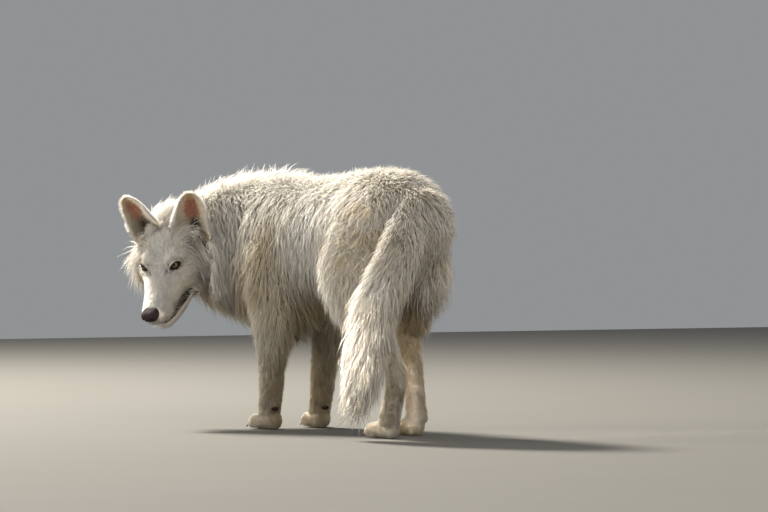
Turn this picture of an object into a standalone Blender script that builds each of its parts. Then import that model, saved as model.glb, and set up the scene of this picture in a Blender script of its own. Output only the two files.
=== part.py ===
"""Arctic wolf, life size, standing square and looking back over its left shoulder.

The wolf faces -Y, its left side is +X and the floor is z = 0. It is modelled on the midline of
the trunk, and at the end the origin goes to the middle of its bounding box, on the floor. Every solid
gives the outer form of the coat, out to the hair tips. The body is lofted, joined by a voxel remesh and
then parted with thin cuts into head, jaw, neck, trunk and legs. Tail, ears, eyes, nose leather and claws
are solids of their own, set in pockets that leave a hair's gap.
"""

import math

import bmesh
import bpy
import numpy as np
from mathutils import Matrix, Vector

# ---------------------------------------------------------------- driving sizes, metres
EYE_RADIUS = 0.0125
EYE_SPACING = 0.090         # centre to centre
EAR_HEIGHT = 0.107
EAR_WIDTH = 0.114
EAR_TAPER = 0.042
EAR_THICKNESS = 0.007
PAW_LENGTH = 0.100
PAW_WIDTH = 0.076
CLAW_LENGTH = 0.016
CLAW_RADIUS = 0.0032

CUT = 0.0006                # width of the cuts that part the body
POCKET = 0.0005             # gap round a piece that sits in the body
VOXEL = 0.0065
BODY_TRIANGLES = 2280       # of the body before it is parted
SMOOTHING = 6

# The head: the point midway between the eyes, how far it turns left from straight ahead, how far the
# muzzle points below the horizon, and how far it rolls about the muzzle.
EYE_MIDPOINT = Vector((0.285, -0.484, 0.442))
HEAD_YAW = math.radians(122)
HEAD_PITCH = math.radians(45)
HEAD_ROLL = math.radians(4)

# The middle of each paw: x, y, how far its toes turn left in degrees, and how far the hock or wrist
# stands behind it.
STANCE = {
    "hind_left": (0.068, 0.302, 8, 0.056),
    "hind_right": (-0.062, 0.228, -8, -0.004),
    "fore_left": (0.080, -0.262, 10, 0.020),
    "fore_right": (-0.080, -0.262, -8, 0.020),
}

# Colour and roughness by a word in the node's name; every other node has the coat's.
FINISHES = {
    "coat": ((0.80, 0.74, 0.61), 0.85),
    "ear": ((0.74, 0.60, 0.47), 0.80),
    "paw": ((0.62, 0.55, 0.42), 0.85),
    "claw": ((0.06, 0.05, 0.04), 0.35),
    "nose": ((0.05, 0.04, 0.04), 0.45),
    "eye": ((0.42, 0.28, 0.06), 0.08),
}

FORWARD = Vector((0, -1, 0))
BEHIND = Vector((0, 1, 0))
UPWARD = Vector((0, 0, 1))


# ---------------------------------------------------------------- general shapes
def clear_scene():
    for obj in list(bpy.data.objects):
        bpy.data.objects.remove(obj)


def add_object(name, mesh):
    obj = bpy.data.objects.new(name, mesh)
    bpy.context.scene.collection.objects.link(obj)
    return obj


def mesh_from(name, points, faces):
    """A closed mesh of triangles that all point outwards. A shape and its grown copy split alike."""
    mesh = bpy.data.meshes.new(name)
    mesh.from_pydata([tuple(p) for p in points], [], faces)
    bm = bmesh.new()
    bm.from_mesh(mesh)
    bmesh.ops.triangulate(bm, faces=bm.faces, quad_method="FIXED")
    bmesh.ops.recalc_face_normals(bm, faces=bm.faces)
    bm.to_mesh(mesh)
    bm.free()
    return mesh


def rings_mesh(name, rings):
    """A tube through rings of equal length, with its two ends filled."""
    count, sides = len(rings), len(rings[0])
    faces = [
        (i * sides + j, i * sides + (j + 1) % sides, (i + 1) * sides + (j + 1) % sides, (i + 1) * sides + j)
        for i in range(count - 1)
        for j in range(sides)
    ]
    faces.append(tuple(range(sides)))
    faces.append(tuple((count - 1) * sides + j for j in range(sides)))
    return mesh_from(name, np.concatenate(rings), faces)


def through(stations, steps):
    """Rows on the Catmull-Rom curve through the stations, `steps` to each gap."""
    rows = np.array(stations, float)
    rows = np.vstack([2 * rows[0] - rows[1], rows, 2 * rows[-1] - rows[-2]])
    out = []
    for a, b, c, d in zip(rows, rows[1:], rows[2:], rows[3:]):
        for t in np.linspace(0, 1, steps, endpoint=False):
            bend = (2 * a - 5 * b + 4 * c - d) * t**2 + (3 * b - a - 3 * c + d) * t**3
            out.append(b + 0.5 * ((c - a) * t + bend))
    out.append(rows[-2])
    return np.array(out)


def loft(name, stations, up, sides=24, steps=5, dome=0.6, rounds=4, grow=0.0):
    """A closed, round-ended skin along a path, `grow` larger all over than its stations say.

    A station is (x, y, z, half width, rise, drop): rise is the extent along `up` and drop the extent
    the other way. Each end closes in a dome of `rounds` rings, `dome` times as long as the end is wide.
    """
    rows = through(stations, steps)
    rows[:, 3:] += grow
    ways = np.gradient(rows[:, :3], axis=0)
    ways /= np.linalg.norm(ways, axis=1)[:, None]
    heights = np.sin(np.linspace(0, math.pi / 2, rounds + 1))[1:]

    def dome_rows(row, way):
        for h in heights:
            ring = row.copy()
            ring[:3] += way * h * dome * min(row[3:])
            ring[3:] *= max(math.sqrt(1 - h * h), 0.1)
            yield ring, way

    start = list(dome_rows(rows[0], -ways[0]))[::-1]
    path = [(row, -way) for row, way in start] + list(zip(rows, ways)) + list(dome_rows(rows[-1], ways[-1]))
    angle = np.linspace(0, 2 * math.pi, sides, endpoint=False)
    rings = []
    for row, way in path:
        side = np.cross(way, np.array(up))
        side /= np.linalg.norm(side)
        top = np.cross(side, way)
        tall = np.where(np.sin(angle) > 0, row[4], row[5])
        rings.append(row[:3] + np.outer(np.cos(angle) * row[3], side) + np.outer(np.sin(angle) * tall, top))
    return rings_mesh(name, rings)


def ball(name, centre, radii, axes=None, segments=20):
    """An ellipsoid with its radii along the given axes."""
    bm = bmesh.new()
    bmesh.ops.create_uvsphere(bm, u_segments=segments, v_segments=segments // 2, radius=1.0)
    turn = Matrix(axes).transposed() if axes else Matrix.Identity(3)
    move = Matrix.Translation(centre) @ turn.to_4x4() @ Matrix.Diagonal((*radii, 1.0))
    bmesh.ops.transform(bm, matrix=move, verts=bm.verts)
    mesh = bpy.data.meshes.new(name)
    bm.to_mesh(mesh)
    bm.free()
    return mesh


def block(name, low, high, frame=None):
    """A box between two corners, in the given 4x4 frame."""
    bm = bmesh.new()
    bmesh.ops.create_cube(bm, size=1.0)
    low, high = Vector(low), Vector(high)
    move = Matrix.Translation((low + high) / 2) @ Matrix.Diagonal((*(high - low), 1.0))
    bmesh.ops.transform(bm, matrix=(frame or Matrix.Identity(4)) @ move, verts=bm.verts)
    mesh = bpy.data.meshes.new(name)
    bm.to_mesh(mesh)
    bm.free()
    return mesh


def joined(name, meshes):
    """One object holding the meshes side by side."""
    bm = bmesh.new()
    for mesh in meshes:
        bm.from_mesh(mesh)
    mesh = bpy.data.meshes.new(name)
    bm.to_mesh(mesh)
    bm.free()
    return add_object(name, mesh)


def settle(obj):
    """Puts the modifiers' result into the object's own mesh."""
    graph = bpy.context.evaluated_depsgraph_get()
    graph.update()
    mesh = bpy.data.meshes.new_from_object(obj.evaluated_get(graph))
    obj.modifiers.clear()
    obj.data = mesh
    return obj


def boolean(obj, mesh, operation):
    """Cuts, keeps or adds a shape, exactly."""
    cutter = add_object("cutter", mesh)
    modifier = obj.modifiers.new("cut", "BOOLEAN")
    modifier.operation = operation
    modifier.solver = "EXACT"
    modifier.object = cutter
    settle(obj)
    bpy.data.objects.remove(cutter)
    return obj


def largest_body(obj):
    """Drops the crumbs that a cut may leave."""
    bm = bmesh.new()
    bm.from_mesh(obj.data)
    left = set(bm.verts)
    bodies = []
    while left:
        seed = left.pop()
        body, edge = {seed}, [seed]
        while edge:
            for link in edge.pop().link_edges:
                for vert in link.verts:
                    if vert in left:
                        left.discard(vert)
                        body.add(vert)
                        edge.append(vert)
        bodies.append(body)
    bodies.sort(key=len)
    crumbs = [vert for body in bodies[:-1] for vert in body]
    bmesh.ops.delete(bm, geom=crumbs, context="VERTS")
    bm.to_mesh(obj.data)
    bm.free()
    return obj


# ---------------------------------------------------------------- the head's own frame
def head_axes():
    """Unit vectors along the muzzle, to the head's left, and out of its forehead."""
    heading = Vector((math.sin(HEAD_YAW), -math.cos(HEAD_YAW), 0))
    ahead = heading * math.cos(HEAD_PITCH) - UPWARD * math.sin(HEAD_PITCH)
    brow = heading * math.sin(HEAD_PITCH) + UPWARD * math.cos(HEAD_PITCH)
    brow.rotate(Matrix.Rotation(HEAD_ROLL, 3, ahead))
    return ahead, brow.cross(ahead), brow


AHEAD, LEFT, BROW = head_axes()


def on_head(ahead, left, brow):
    """The point this far from the middle of the eyes, along the head's own axes."""
    return EYE_MIDPOINT + AHEAD * ahead + LEFT * left + BROW * brow


def head_frame():
    """The 4x4 frame whose x runs along the muzzle, y to the head's left and z out of its forehead."""
    frame = Matrix((AHEAD, LEFT, BROW)).transposed().to_4x4()
    frame.translation = EYE_MIDPOINT
    return frame


def head_loft(name, stations, **options):
    """A loft whose stations are (ahead, left, brow, half width, rise, drop) in the head's frame."""
    return loft(name, [(*on_head(*s[:3]), *s[3:]) for s in stations], BROW, **options)


# ---------------------------------------------------------------- body
def trunk_shapes():
    back = [
        (0, 0.366, 0.560, 0.102, 0.102, 0.105),
        (0, 0.300, 0.555, 0.134, 0.142, 0.145),
        (0, 0.200, 0.550, 0.140, 0.155, 0.150),
        (0, 0.100, 0.545, 0.128, 0.156, 0.155),
        (0, -0.020, 0.540, 0.122, 0.150, 0.175),
        (0, -0.140, 0.530, 0.130, 0.160, 0.212),
        (0, -0.250, 0.520, 0.136, 0.184, 0.275),
        (0, -0.340, 0.515, 0.130, 0.190, 0.270),
        (0, -0.400, 0.505, 0.106, 0.160, 0.220),
    ]
    neck = [
        (0.000, -0.230, 0.520, 0.120, 0.180, 0.205),
        (0.015, -0.350, 0.520, 0.128, 0.192, 0.245),
        (0.060, -0.450, 0.515, 0.126, 0.190, 0.224),
        (0.130, -0.520, 0.512, 0.116, 0.158, 0.180),
        (0.190, -0.542, 0.515, 0.100, 0.118, 0.140),
    ]
    return [loft("trunk", back, UPWARD), loft("neck", neck, UPWARD)]


def head_shapes():
    skull = [
        (-0.175, 0, -0.020, 0.086, 0.072, 0.095),
        (-0.140, 0, -0.015, 0.108, 0.084, 0.115),
        (-0.100, 0, -0.015, 0.120, 0.080, 0.120),
        (-0.060, 0, -0.022, 0.131, 0.068, 0.118),
        (-0.030, 0, -0.030, 0.116, 0.060, 0.112),
        (0.000, 0, -0.038, 0.084, 0.055, 0.108),
        (0.030, 0, -0.044, 0.060, 0.044, 0.102),
        (0.060, 0, -0.052, 0.050, 0.038, 0.093),
        (0.095, 0, -0.058, 0.044, 0.033, 0.081),
        (0.120, 0, -0.062, 0.041, 0.030, 0.066),
        (0.140, 0, -0.063, 0.033, 0.024, 0.034),
    ]
    shapes = [head_loft("skull", skull, dome=0.3)]
    shapes.append(ball("nape", on_head(-0.135, -0.005, 0.052), (0.048, 0.066, 0.040), (AHEAD, LEFT, BROW)))
    for side in (1, -1):
        ruff = [
            (-0.105, side * 0.088, 0.000, 0.046, 0.044, 0.044),
            (-0.085, side * 0.114, -0.040, 0.045, 0.044, 0.044),
            (-0.062, side * 0.122, -0.080, 0.036, 0.036, 0.036),
            (-0.045, side * 0.132, -0.108, 0.020, 0.020, 0.020),
        ]
        shapes.append(head_loft("ruff", ruff))
        shapes.append(ball("brow", on_head(-0.020, side * 0.038, 0.018), (0.028, 0.024, 0.016), (AHEAD, LEFT, BROW)))
    return shapes


def leg_shapes(name):
    """One leg from inside the trunk down to the fetlock, with its paw."""
    x, y, _, heel = STANCE[name]
    side = 1 if x > 0 else -1
    if name.startswith("hind"):
        joint = y + heel                                # the hock
        rows = [
            (side * 0.078, 0.200, 0.560, 0.068, 0.125, 0.140),
            (side * 0.094, 0.190, 0.450, 0.070, 0.140, 0.170),
            (side * 0.094, (joint + 0.100) / 2, 0.350, 0.054, 0.110, 0.130),
            (side * 0.086, joint - 0.080, 0.270, 0.040, 0.064, 0.100),
            (side * 0.076, joint - 0.018, 0.205, 0.031, 0.038, 0.040),
            (side * 0.070, joint, 0.160, 0.030, 0.035, 0.034),
            (side * 0.068, (joint + y) / 2 + 0.014, 0.100, 0.028, 0.030, 0.029),
            (side * 0.068, y + 0.022, 0.045, 0.031, 0.032, 0.028),
        ]
    else:
        joint = y + heel                                # the wrist
        rows = [
            (side * 0.085, joint, 0.510, 0.064, 0.110, 0.110),
            (side * 0.100, joint, 0.410, 0.060, 0.080, 0.112),
            (side * 0.096, joint + 0.014, 0.320, 0.054, 0.056, 0.110),
            (side * 0.090, joint + 0.012, 0.245, 0.044, 0.044, 0.088),
            (side * 0.084, joint + 0.004, 0.175, 0.036, 0.038, 0.055),
            (side * 0.081, joint, 0.110, 0.034, 0.035, 0.040),
            (side * 0.080, y + 0.010, 0.050, 0.032, 0.032, 0.033),
        ]
    return [loft(name, rows, FORWARD, sides=20)] + paw_shapes(name)


def toe_places(name):
    """Where each toe's knuckle and tip lie, with the way it points, outermost toe first."""
    x, y, turn, _ = STANCE[name]
    for k in range(4):
        spread = (k - 1.5) / 1.5                        # -1 to 1 across the paw
        fan = math.radians(turn + 13 * spread)
        way = Vector((math.sin(fan), -math.cos(fan), 0))
        reach = PAW_LENGTH * (0.47 - 0.13 * spread**2)  # the two middle toes reach furthest
        base = Vector((x, y, 0)) + Vector((1, 0, 0)) * spread * PAW_WIDTH * 0.26
        yield base + way * reach * 0.35, base + way * reach, way


def paw_shapes(name):
    x, y, turn, _ = STANCE[name]
    way = Vector((math.sin(math.radians(turn)), -math.cos(math.radians(turn)), 0))
    back = Vector((x, y, 0.027)) - way * PAW_LENGTH * 0.30
    front = Vector((x, y, 0.026)) + way * PAW_LENGTH * 0.10
    pad = [
        (*back, PAW_WIDTH * 0.34, 0.022, 0.030),
        (*front, PAW_WIDTH * 0.44, 0.022, 0.030),
    ]
    shapes = [loft("pad", pad, UPWARD, sides=16)]
    for knuckle, tip, _ in toe_places(name):
        toe = [
            (knuckle.x, knuckle.y, 0.030, 0.0105, 0.014, 0.032),
            ((knuckle.x + tip.x) / 2, (knuckle.y + tip.y) / 2, 0.026, 0.0115, 0.014, 0.030),
            (tip.x, tip.y, 0.016, 0.0100, 0.011, 0.020),
        ]
        shapes.append(loft("toe", toe, UPWARD, sides=12))
    return shapes


def make_body():
    """The whole body in one skin, flat under the paws."""
    shapes = trunk_shapes() + head_shapes()
    for name in STANCE:
        shapes += leg_shapes(name)
    body = joined("body", shapes)
    remesh = body.modifiers.new("join", "REMESH")
    remesh.mode = "VOXEL"
    remesh.voxel_size = VOXEL
    soften = body.modifiers.new("soften", "SMOOTH")
    soften.factor = 0.5
    soften.iterations = SMOOTHING
    settle(body)
    thin = body.modifiers.new("thin", "DECIMATE")
    thin.ratio = BODY_TRIANGLES / sum(len(p.vertices) - 2 for p in body.data.polygons)
    settle(body)
    boolean(body, block("floor", (-1, -1, -0.3), (1, 1, 0)), "DIFFERENCE")
    return body


# ---------------------------------------------------------------- pieces set into the body
def tail_mesh(grow=0.0):
    rows = [
        (0.000, 0.325, 0.602, 0.040, 0.036, 0.040),
        (0.045, 0.378, 0.562, 0.052, 0.048, 0.050),
        (0.085, 0.408, 0.497, 0.060, 0.056, 0.054),
        (0.117, 0.405, 0.425, 0.068, 0.060, 0.060),
        (0.151, 0.394, 0.350, 0.070, 0.060, 0.060),
        (0.172, 0.386, 0.255, 0.068, 0.058, 0.058),
        (0.180, 0.376, 0.178, 0.061, 0.052, 0.052),
        (0.192, 0.363, 0.100, 0.040, 0.035, 0.035),
        (0.198, 0.354, 0.048, 0.020, 0.018, 0.018),
    ]
    return loft("tail", rows, BEHIND, sides=12, steps=2, dome=1.2, rounds=3, grow=grow)


def ear_axes(side):
    """The way an ear grows, the way its opening looks, and the way across it."""
    lean = 0.0085 if side > 0 else -0.064           # the left ear stands up and the right one leans out
    grows = (AHEAD * (-0.092 if side > 0 else -0.077) + LEFT * lean + BROW * 0.092).normalized()
    looks = AHEAD * 0.85 + LEFT * (0.07 if side > 0 else 0.04)
    looks = (looks - grows * looks.dot(grows)).normalized()
    return grows, looks, grows.cross(looks)


def ear_mesh(side, grow=0.0):
    """A cupped leaf: every ring is an arc that flattens towards the tip, with the ear's thickness."""
    grows, looks, across = ear_axes(side)
    root = on_head(-0.086, 0.080, 0.040) if side > 0 else on_head(-0.091, -0.063, 0.053)
    half = EAR_THICKNESS / 2 + grow
    rings = []
    for v in np.linspace(-0.2, 1, 10):
        rise = max(v, 0)
        width = (EAR_WIDTH - EAR_TAPER * rise) * (1 - rise**5) ** 0.5
        width = max(width, 0.012) / 2
        cup = math.radians(56 - 32 * rise)              # half the angle that the arc turns through
        radius = width / math.sin(cup)
        ends = cup + grow / radius
        middle = root + grows * (EAR_HEIGHT + grow) * v + looks * 0.012 * rise**2
        ring = []
        for layer in (1, -1):
            for turn in np.linspace(-ends, ends, 7)[::layer]:
                reach = radius + half * layer
                back = reach * math.cos(turn) - radius * math.cos(cup)
                ring.append(middle + across * reach * math.sin(turn) - looks * back)
        rings.append(np.array([tuple(point) for point in ring]))
    return rings_mesh("ear", rings)


def eye_mesh(side, grow=0.0):
    centre = on_head(0.000, side * EYE_SPACING / 2, 0.001)
    return ball("eye", centre, (EYE_RADIUS + grow,) * 3, (AHEAD, LEFT, BROW), segments=14)


def nose_mesh(grow=0.0):
    rows = [
        (0.124, 0, -0.046, 0.016, 0.012, 0.016),
        (0.141, 0, -0.048, 0.024, 0.015, 0.020),
        (0.154, 0, -0.051, 0.021, 0.012, 0.018),
    ]
    return head_loft("nose", rows, sides=14, steps=2, dome=0.5, rounds=2, grow=grow)


def claw_mesh(tip, way, grow=0.0):
    """A claw from inside the toe, curving down to just above the floor."""
    rows = []
    for reach, height, thick in ((-0.1, 0.0150, 1.0), (0.55, 0.0120, 0.9), (1.0, 0.0060, 0.4)):
        place = tip + way * CLAW_LENGTH * reach
        rows.append((place.x, place.y, height, *[CLAW_RADIUS * thick] * 3))
    return loft("claw", rows, UPWARD, sides=6, steps=1, dome=0.5, rounds=1, grow=grow)


# ---------------------------------------------------------------- parting the body
def take(body, name, region):
    """Moves what lies in the region to a node of its own. `region(grow)` gives the region's mesh."""
    node = add_object(name, body.data.copy())
    largest_body(boolean(node, region(0.0), "INTERSECT"))
    boolean(body, region(CUT), "DIFFERENCE")
    return node


def slab(low, high, frame=None):
    """A region for take(): a box that grows towards the rest of the body."""
    def region(grow):
        return block("region", Vector(low) - Vector((grow,) * 3), Vector(high) + Vector((grow,) * 3), frame)
    return region


def limb_region(side, y, z, radius, depth_high):
    """A region for take(): a leg and its haunch, round-topped, its inner face slanting to the midline."""
    def region(grow):
        reach = radius + grow
        outline = [(y + reach * math.cos(a), z + reach * math.sin(a)) for a in np.linspace(0, math.pi, 17)]
        outline += [(y - reach, -0.1), (y + reach, -0.1)]
        slope = depth_high / (z + radius)
        inner = [(side * (slope * h + CUT - grow), w, h) for w, h in outline]
        outer = [(side * 0.4, w, h) for w, h in outline]
        return rings_mesh("limb", [np.array(inner), np.array(outer)])
    return region


def jaw_region(grow):
    """The lower jaw. Grown, it takes in the parted lips too, so the cut leaves the mouth a little open."""
    gap = 1 if grow else 0
    lips = [
        (0.170, -0.0890 + 0.0070 * gap),
        (0.100, -0.0960 + 0.0090 * gap),
        (0.050, -0.0980 + 0.0100 * gap),
        (0.006, -0.0900 + 0.0040 * gap),
        (-0.004 - grow, -0.0970),
        (-0.010 - grow, -0.2500),
        (0.170, -0.2500),
    ]
    width = 0.062 + grow
    return rings_mesh("jaw", [np.array([tuple(on_head(a, left, b)) for a, b in lips]) for left in (-width, width)])


def part_body(body):
    """Splits the body into head, jaw, neck, legs and trunk, and gives back the head."""
    collar = Matrix.Translation((0.030, -0.365, 0.5)) @ Matrix.Rotation(math.radians(20), 4, "Z")
    head = take(body, "head", slab((-0.125, -0.30, -0.17), (0.30, 0.142, 0.30), head_frame()))
    take(head, "lower_jaw", jaw_region)
    take(body, "neck", slab((-0.5, -0.5, -0.5), (0.5, 0.0, 0.5), collar))
    for name in STANCE:
        leg, end = name.split("_")
        side = 1 if end == "left" else -1
        if leg == "hind":
            limb, joint = limb_region(side, 0.205, 0.440, 0.185, 0.050), 0.195
        else:
            limb, joint = limb_region(side, -0.240, 0.400, 0.120, 0.070), 0.275
        upper = take(body, f"{leg}leg_{end}_upper", limb)
        lower = take(upper, f"{leg}leg_{end}_lower", slab((-0.5, -0.9, -0.1), (0.5, 0.9, joint)))
        take(lower, f"{leg}paw_{end}", slab((-0.5, -0.9, -0.1), (0.5, 0.9, 0.058)))
    largest_body(body).name = "trunk"
    return head


def set_head_pieces(head):
    """Ears, eyes and nose, each in a pocket of its own. The ears' backs reach into the neck too."""
    for end, side in (("left", 1), ("right", -1)):
        boolean(head, ear_mesh(side, POCKET), "DIFFERENCE")
        boolean(bpy.data.objects["neck"], ear_mesh(side, POCKET), "DIFFERENCE")
        boolean(head, eye_mesh(side, POCKET), "DIFFERENCE")
        add_object(f"ear_{end}", ear_mesh(side))
        add_object(f"eye_{end}", eye_mesh(side))
    boolean(head, nose_mesh(POCKET), "DIFFERENCE")
    add_object("nose", nose_mesh())
    largest_body(head)


def set_claws():
    for name in STANCE:
        leg, end = name.split("_")
        paw = bpy.data.objects[f"{leg}paw_{end}"]
        for number, (_, tip, way) in enumerate(toe_places(name), 1):
            boolean(paw, claw_mesh(tip, way, POCKET), "DIFFERENCE")
            add_object(f"{leg}claw_{end}_{number}", claw_mesh(tip, way))


# ---------------------------------------------------------------- finish and place
def paint(obj):
    """A material of the object's own, by the kind of node it is, and soft shading."""
    kind = next((word for word in FINISHES if word in obj.name), "coat")
    colour, roughness = FINISHES[kind]
    material = bpy.data.materials.new(f"{kind} {obj.name}")
    material.use_nodes = True
    shader = material.node_tree.nodes["Principled BSDF"]
    shader.inputs["Base Color"].default_value = (*colour, 1)
    shader.inputs["Roughness"].default_value = roughness
    shader.inputs["Metallic"].default_value = 0
    obj.data.materials.clear()
    obj.data.materials.append(material)
    obj.data.shade_smooth()
    obj.data.set_sharp_from_angle(angle=math.radians(35))


def stand_at_origin(objects):
    """Moves every mesh so that the origin is the middle of the whole wolf's bounding box, on the floor."""
    points = np.concatenate([[tuple(vert.co) for vert in obj.data.vertices] for obj in objects])
    middle = (points.min(axis=0) + points.max(axis=0)) / 2
    for obj in objects:
        obj.data.transform(Matrix.Translation((-middle[0], -middle[1], 0)))


def main():
    clear_scene()
    body = make_body()
    boolean(body, tail_mesh(POCKET), "DIFFERENCE")
    add_object("tail", tail_mesh())
    head = part_body(body)
    set_head_pieces(head)
    set_claws()
    wolf = list(bpy.data.objects)
    for obj in wolf:
        paint(obj)
    stand_at_origin(wolf)


if __name__ == "__main__":
    main()
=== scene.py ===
import math
import bpy
import numpy as np
from mathutils import Matrix, Vector
from mathutils.bvhtree import BVHTree


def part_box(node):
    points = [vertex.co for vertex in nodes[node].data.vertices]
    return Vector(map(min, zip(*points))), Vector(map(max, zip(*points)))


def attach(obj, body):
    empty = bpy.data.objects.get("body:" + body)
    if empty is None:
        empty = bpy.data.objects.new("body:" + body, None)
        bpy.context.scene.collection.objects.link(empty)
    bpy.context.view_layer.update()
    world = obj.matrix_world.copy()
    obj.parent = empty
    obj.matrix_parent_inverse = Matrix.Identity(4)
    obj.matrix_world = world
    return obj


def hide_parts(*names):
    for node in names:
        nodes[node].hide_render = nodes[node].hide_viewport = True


# Arctic wolf, life size: one skin, and over it a coat of mesh locks that follow the lie of the hair.
# Lengths are in metres, and the wolf faces -Y with the floor at z = 0.

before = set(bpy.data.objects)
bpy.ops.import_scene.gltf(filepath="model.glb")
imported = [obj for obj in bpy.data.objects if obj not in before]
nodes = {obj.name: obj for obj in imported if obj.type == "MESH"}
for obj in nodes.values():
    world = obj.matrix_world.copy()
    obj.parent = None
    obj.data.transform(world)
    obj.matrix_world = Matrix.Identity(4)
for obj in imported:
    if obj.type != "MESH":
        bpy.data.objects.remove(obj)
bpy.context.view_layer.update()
rng = np.random.default_rng(11)
fine = 1.0      # share of the locks that are made


# each vector at length 1
def unit(v):
    return v / np.maximum(np.linalg.norm(v, axis=-1, keepdims=True), 1e-9)


def dot(a, b):
    return (a * b).sum(-1)


# the way laid flat on a surface: its share along the normal is taken off
def flatOn(way, normal):
    return unit(way - normal * dot(way, normal)[..., None])


# 0 below low, 1 above high, and an S-shaped rise between
def ramp(x, low, high):
    t = np.clip((x - low) / (high - low), 0, 1)
    return t * t * (3 - 2 * t)


# 1 where every given distance is 0, and falling off as a bell: e to the minus sum of their squares
def bell(*distances):
    return np.exp(-sum(d**2 for d in distances))


# a number from 0 to 1 for each whole-number cell
def hashed(cells, seed):
    n = cells[:, 0] * 73856093 ^ cells[:, 1] * 19349663 ^ cells[:, 2] * 83492791 ^ (seed * 40503 + 12289)
    n = ((n ^ (n >> 13)) * 1274126177) & 0x7FFFFFFF
    n = ((n ^ (n >> 16)) * 668265263) & 0x7FFFFFFF
    return ((n ^ (n >> 15)) & 0xFFFFFF) / 0xFFFFFF


# value noise from -1 to 1: random numbers on a lattice, blended smoothly between its eight corners
def softNoise(points, size, seed=0):
    place = points / size + seed * 7.31
    cell = np.floor(place).astype(np.int64)
    part = place - cell
    part = part * part * (3 - 2 * part)
    total = np.zeros(len(points))
    for corner in np.ndindex(2, 2, 2):
        share = np.prod(np.where(corner, part, 1 - part), axis=1)
        total += share * hashed(cell + corner, seed)
    return total * 2 - 1


# the nearest of one scattered centre in each cell, with a random number that its whole clump shares
def clumps(points, size, seed):
    cell = np.floor(points / size).astype(np.int64)
    nearest = np.full(len(points), 1e9)
    centres, tags = np.zeros_like(points), np.zeros(len(points))
    for step in np.ndindex(3, 3, 3):
        near = cell + np.array(step) - 1
        spot = (near + np.stack([hashed(near, seed + k) for k in range(3)], 1)) * size
        apart = ((spot - points) ** 2).sum(1)
        closer = apart < nearest
        nearest[closer] = apart[closer]
        centres[closer] = spot[closer]
        tags[closer] = hashed(near, seed + 9)[closer]
    return centres, tags


# a smooth mesh from arrays of points and triangles
def meshFrom(name, points, triangles):
    mesh = bpy.data.meshes.new(name)
    mesh.vertices.add(len(points))
    mesh.vertices.foreach_set("co", np.asarray(points, np.float32).ravel())
    mesh.loops.add(triangles.size)
    mesh.loops.foreach_set("vertex_index", np.asarray(triangles, np.int32).ravel())
    mesh.polygons.add(len(triangles))
    mesh.polygons.foreach_set("loop_start", np.arange(0, triangles.size, 3, dtype=np.int32))
    mesh.update(calc_edges=True)
    mesh.validate()
    mesh.shade_smooth()
    return mesh


# a piece with its mesh; one that has a slot belongs to the wolf and rides on its body
def newPiece(name, points, triangles, material=None, slot=None):
    piece = bpy.data.objects.new(name, meshFrom(name, points, triangles))
    bpy.context.scene.collection.objects.link(piece)
    if material:
        piece.data.materials.append(material)
    if slot:
        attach(piece, "root")
    return piece


# four numbers, or one, for each point
def setColours(mesh, name, values):
    layer = mesh.attributes.new(name, "FLOAT_COLOR", "POINT")
    layer.data.foreach_set("color", np.asarray(values, np.float32).ravel())


def setValues(mesh, name, values):
    layer = mesh.attributes.new(name, "FLOAT", "POINT")
    layer.data.foreach_set("value", np.asarray(values, np.float32).ravel())


# a mesh's points and triangles as arrays
def arraysFrom(mesh):
    points = np.zeros(len(mesh.vertices) * 3, np.float32)
    mesh.vertices.foreach_get("co", points)
    mesh.calc_loop_triangles()
    triangles = np.zeros(len(mesh.loop_triangles) * 3, np.int32)
    mesh.loop_triangles.foreach_get("vertices", triangles)
    return points.reshape(-1, 3), triangles.reshape(-1, 3)


# the same for a piece as it stands after its modifiers
def arraysOf(piece):
    graph = bpy.context.evaluated_depsgraph_get()
    graph.update()
    points, triangles = arraysFrom(piece.evaluated_get(graph).to_mesh())
    piece.evaluated_get(graph).to_mesh_clear()
    return points.astype(float), triangles


# each vertex's normal: the sum of its faces' normals, larger faces counting for more
def vertexNormals(points, triangles):
    a, b, c = (points[triangles[:, k]] for k in range(3))
    face = np.cross(b - a, c - a)
    total = np.zeros_like(points)
    for axis in range(3):
        for k in range(3):
            total[:, axis] += np.bincount(triangles[:, k], face[:, axis], len(points))
    return unit(total)


# each vertex's values move part of the way to the mean of its neighbours', again and again
def evened(values, triangles, rounds, share=0.5):
    one, two = triangles[:, [0, 1, 2]].ravel(), triangles[:, [1, 2, 0]].ravel()
    count = len(values)
    links = np.maximum(np.bincount(one, minlength=count) + np.bincount(two, minlength=count), 1)
    flat = values.reshape(count, -1).copy()
    for _ in range(rounds):
        for k in range(flat.shape[1]):
            mean = np.bincount(one, flat[two, k], count) + np.bincount(two, flat[one, k], count)
            flat[:, k] += (mean / links - flat[:, k]) * share
    return flat.reshape(values.shape)


# quads of a grid of rows x sides points that closes round, split in two, with a fan over each end
def tubeTriangles(rows, sides):
    i, j = np.meshgrid(np.arange(rows - 1), np.arange(sides), indexing="ij")
    a, b = i * sides + j, i * sides + (j + 1) % sides
    walls = np.stack([np.stack([a, b, b + sides], -1), np.stack([a, b + sides, a + sides], -1)], -2)
    k = np.arange(1, sides - 1)
    start = np.stack([np.zeros_like(k), k + 1, k], -1)
    end = np.stack([np.zeros_like(k), k, k + 1], -1) + (rows - 1) * sides
    return np.concatenate([walls.reshape(-1, 3), start, end])


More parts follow.
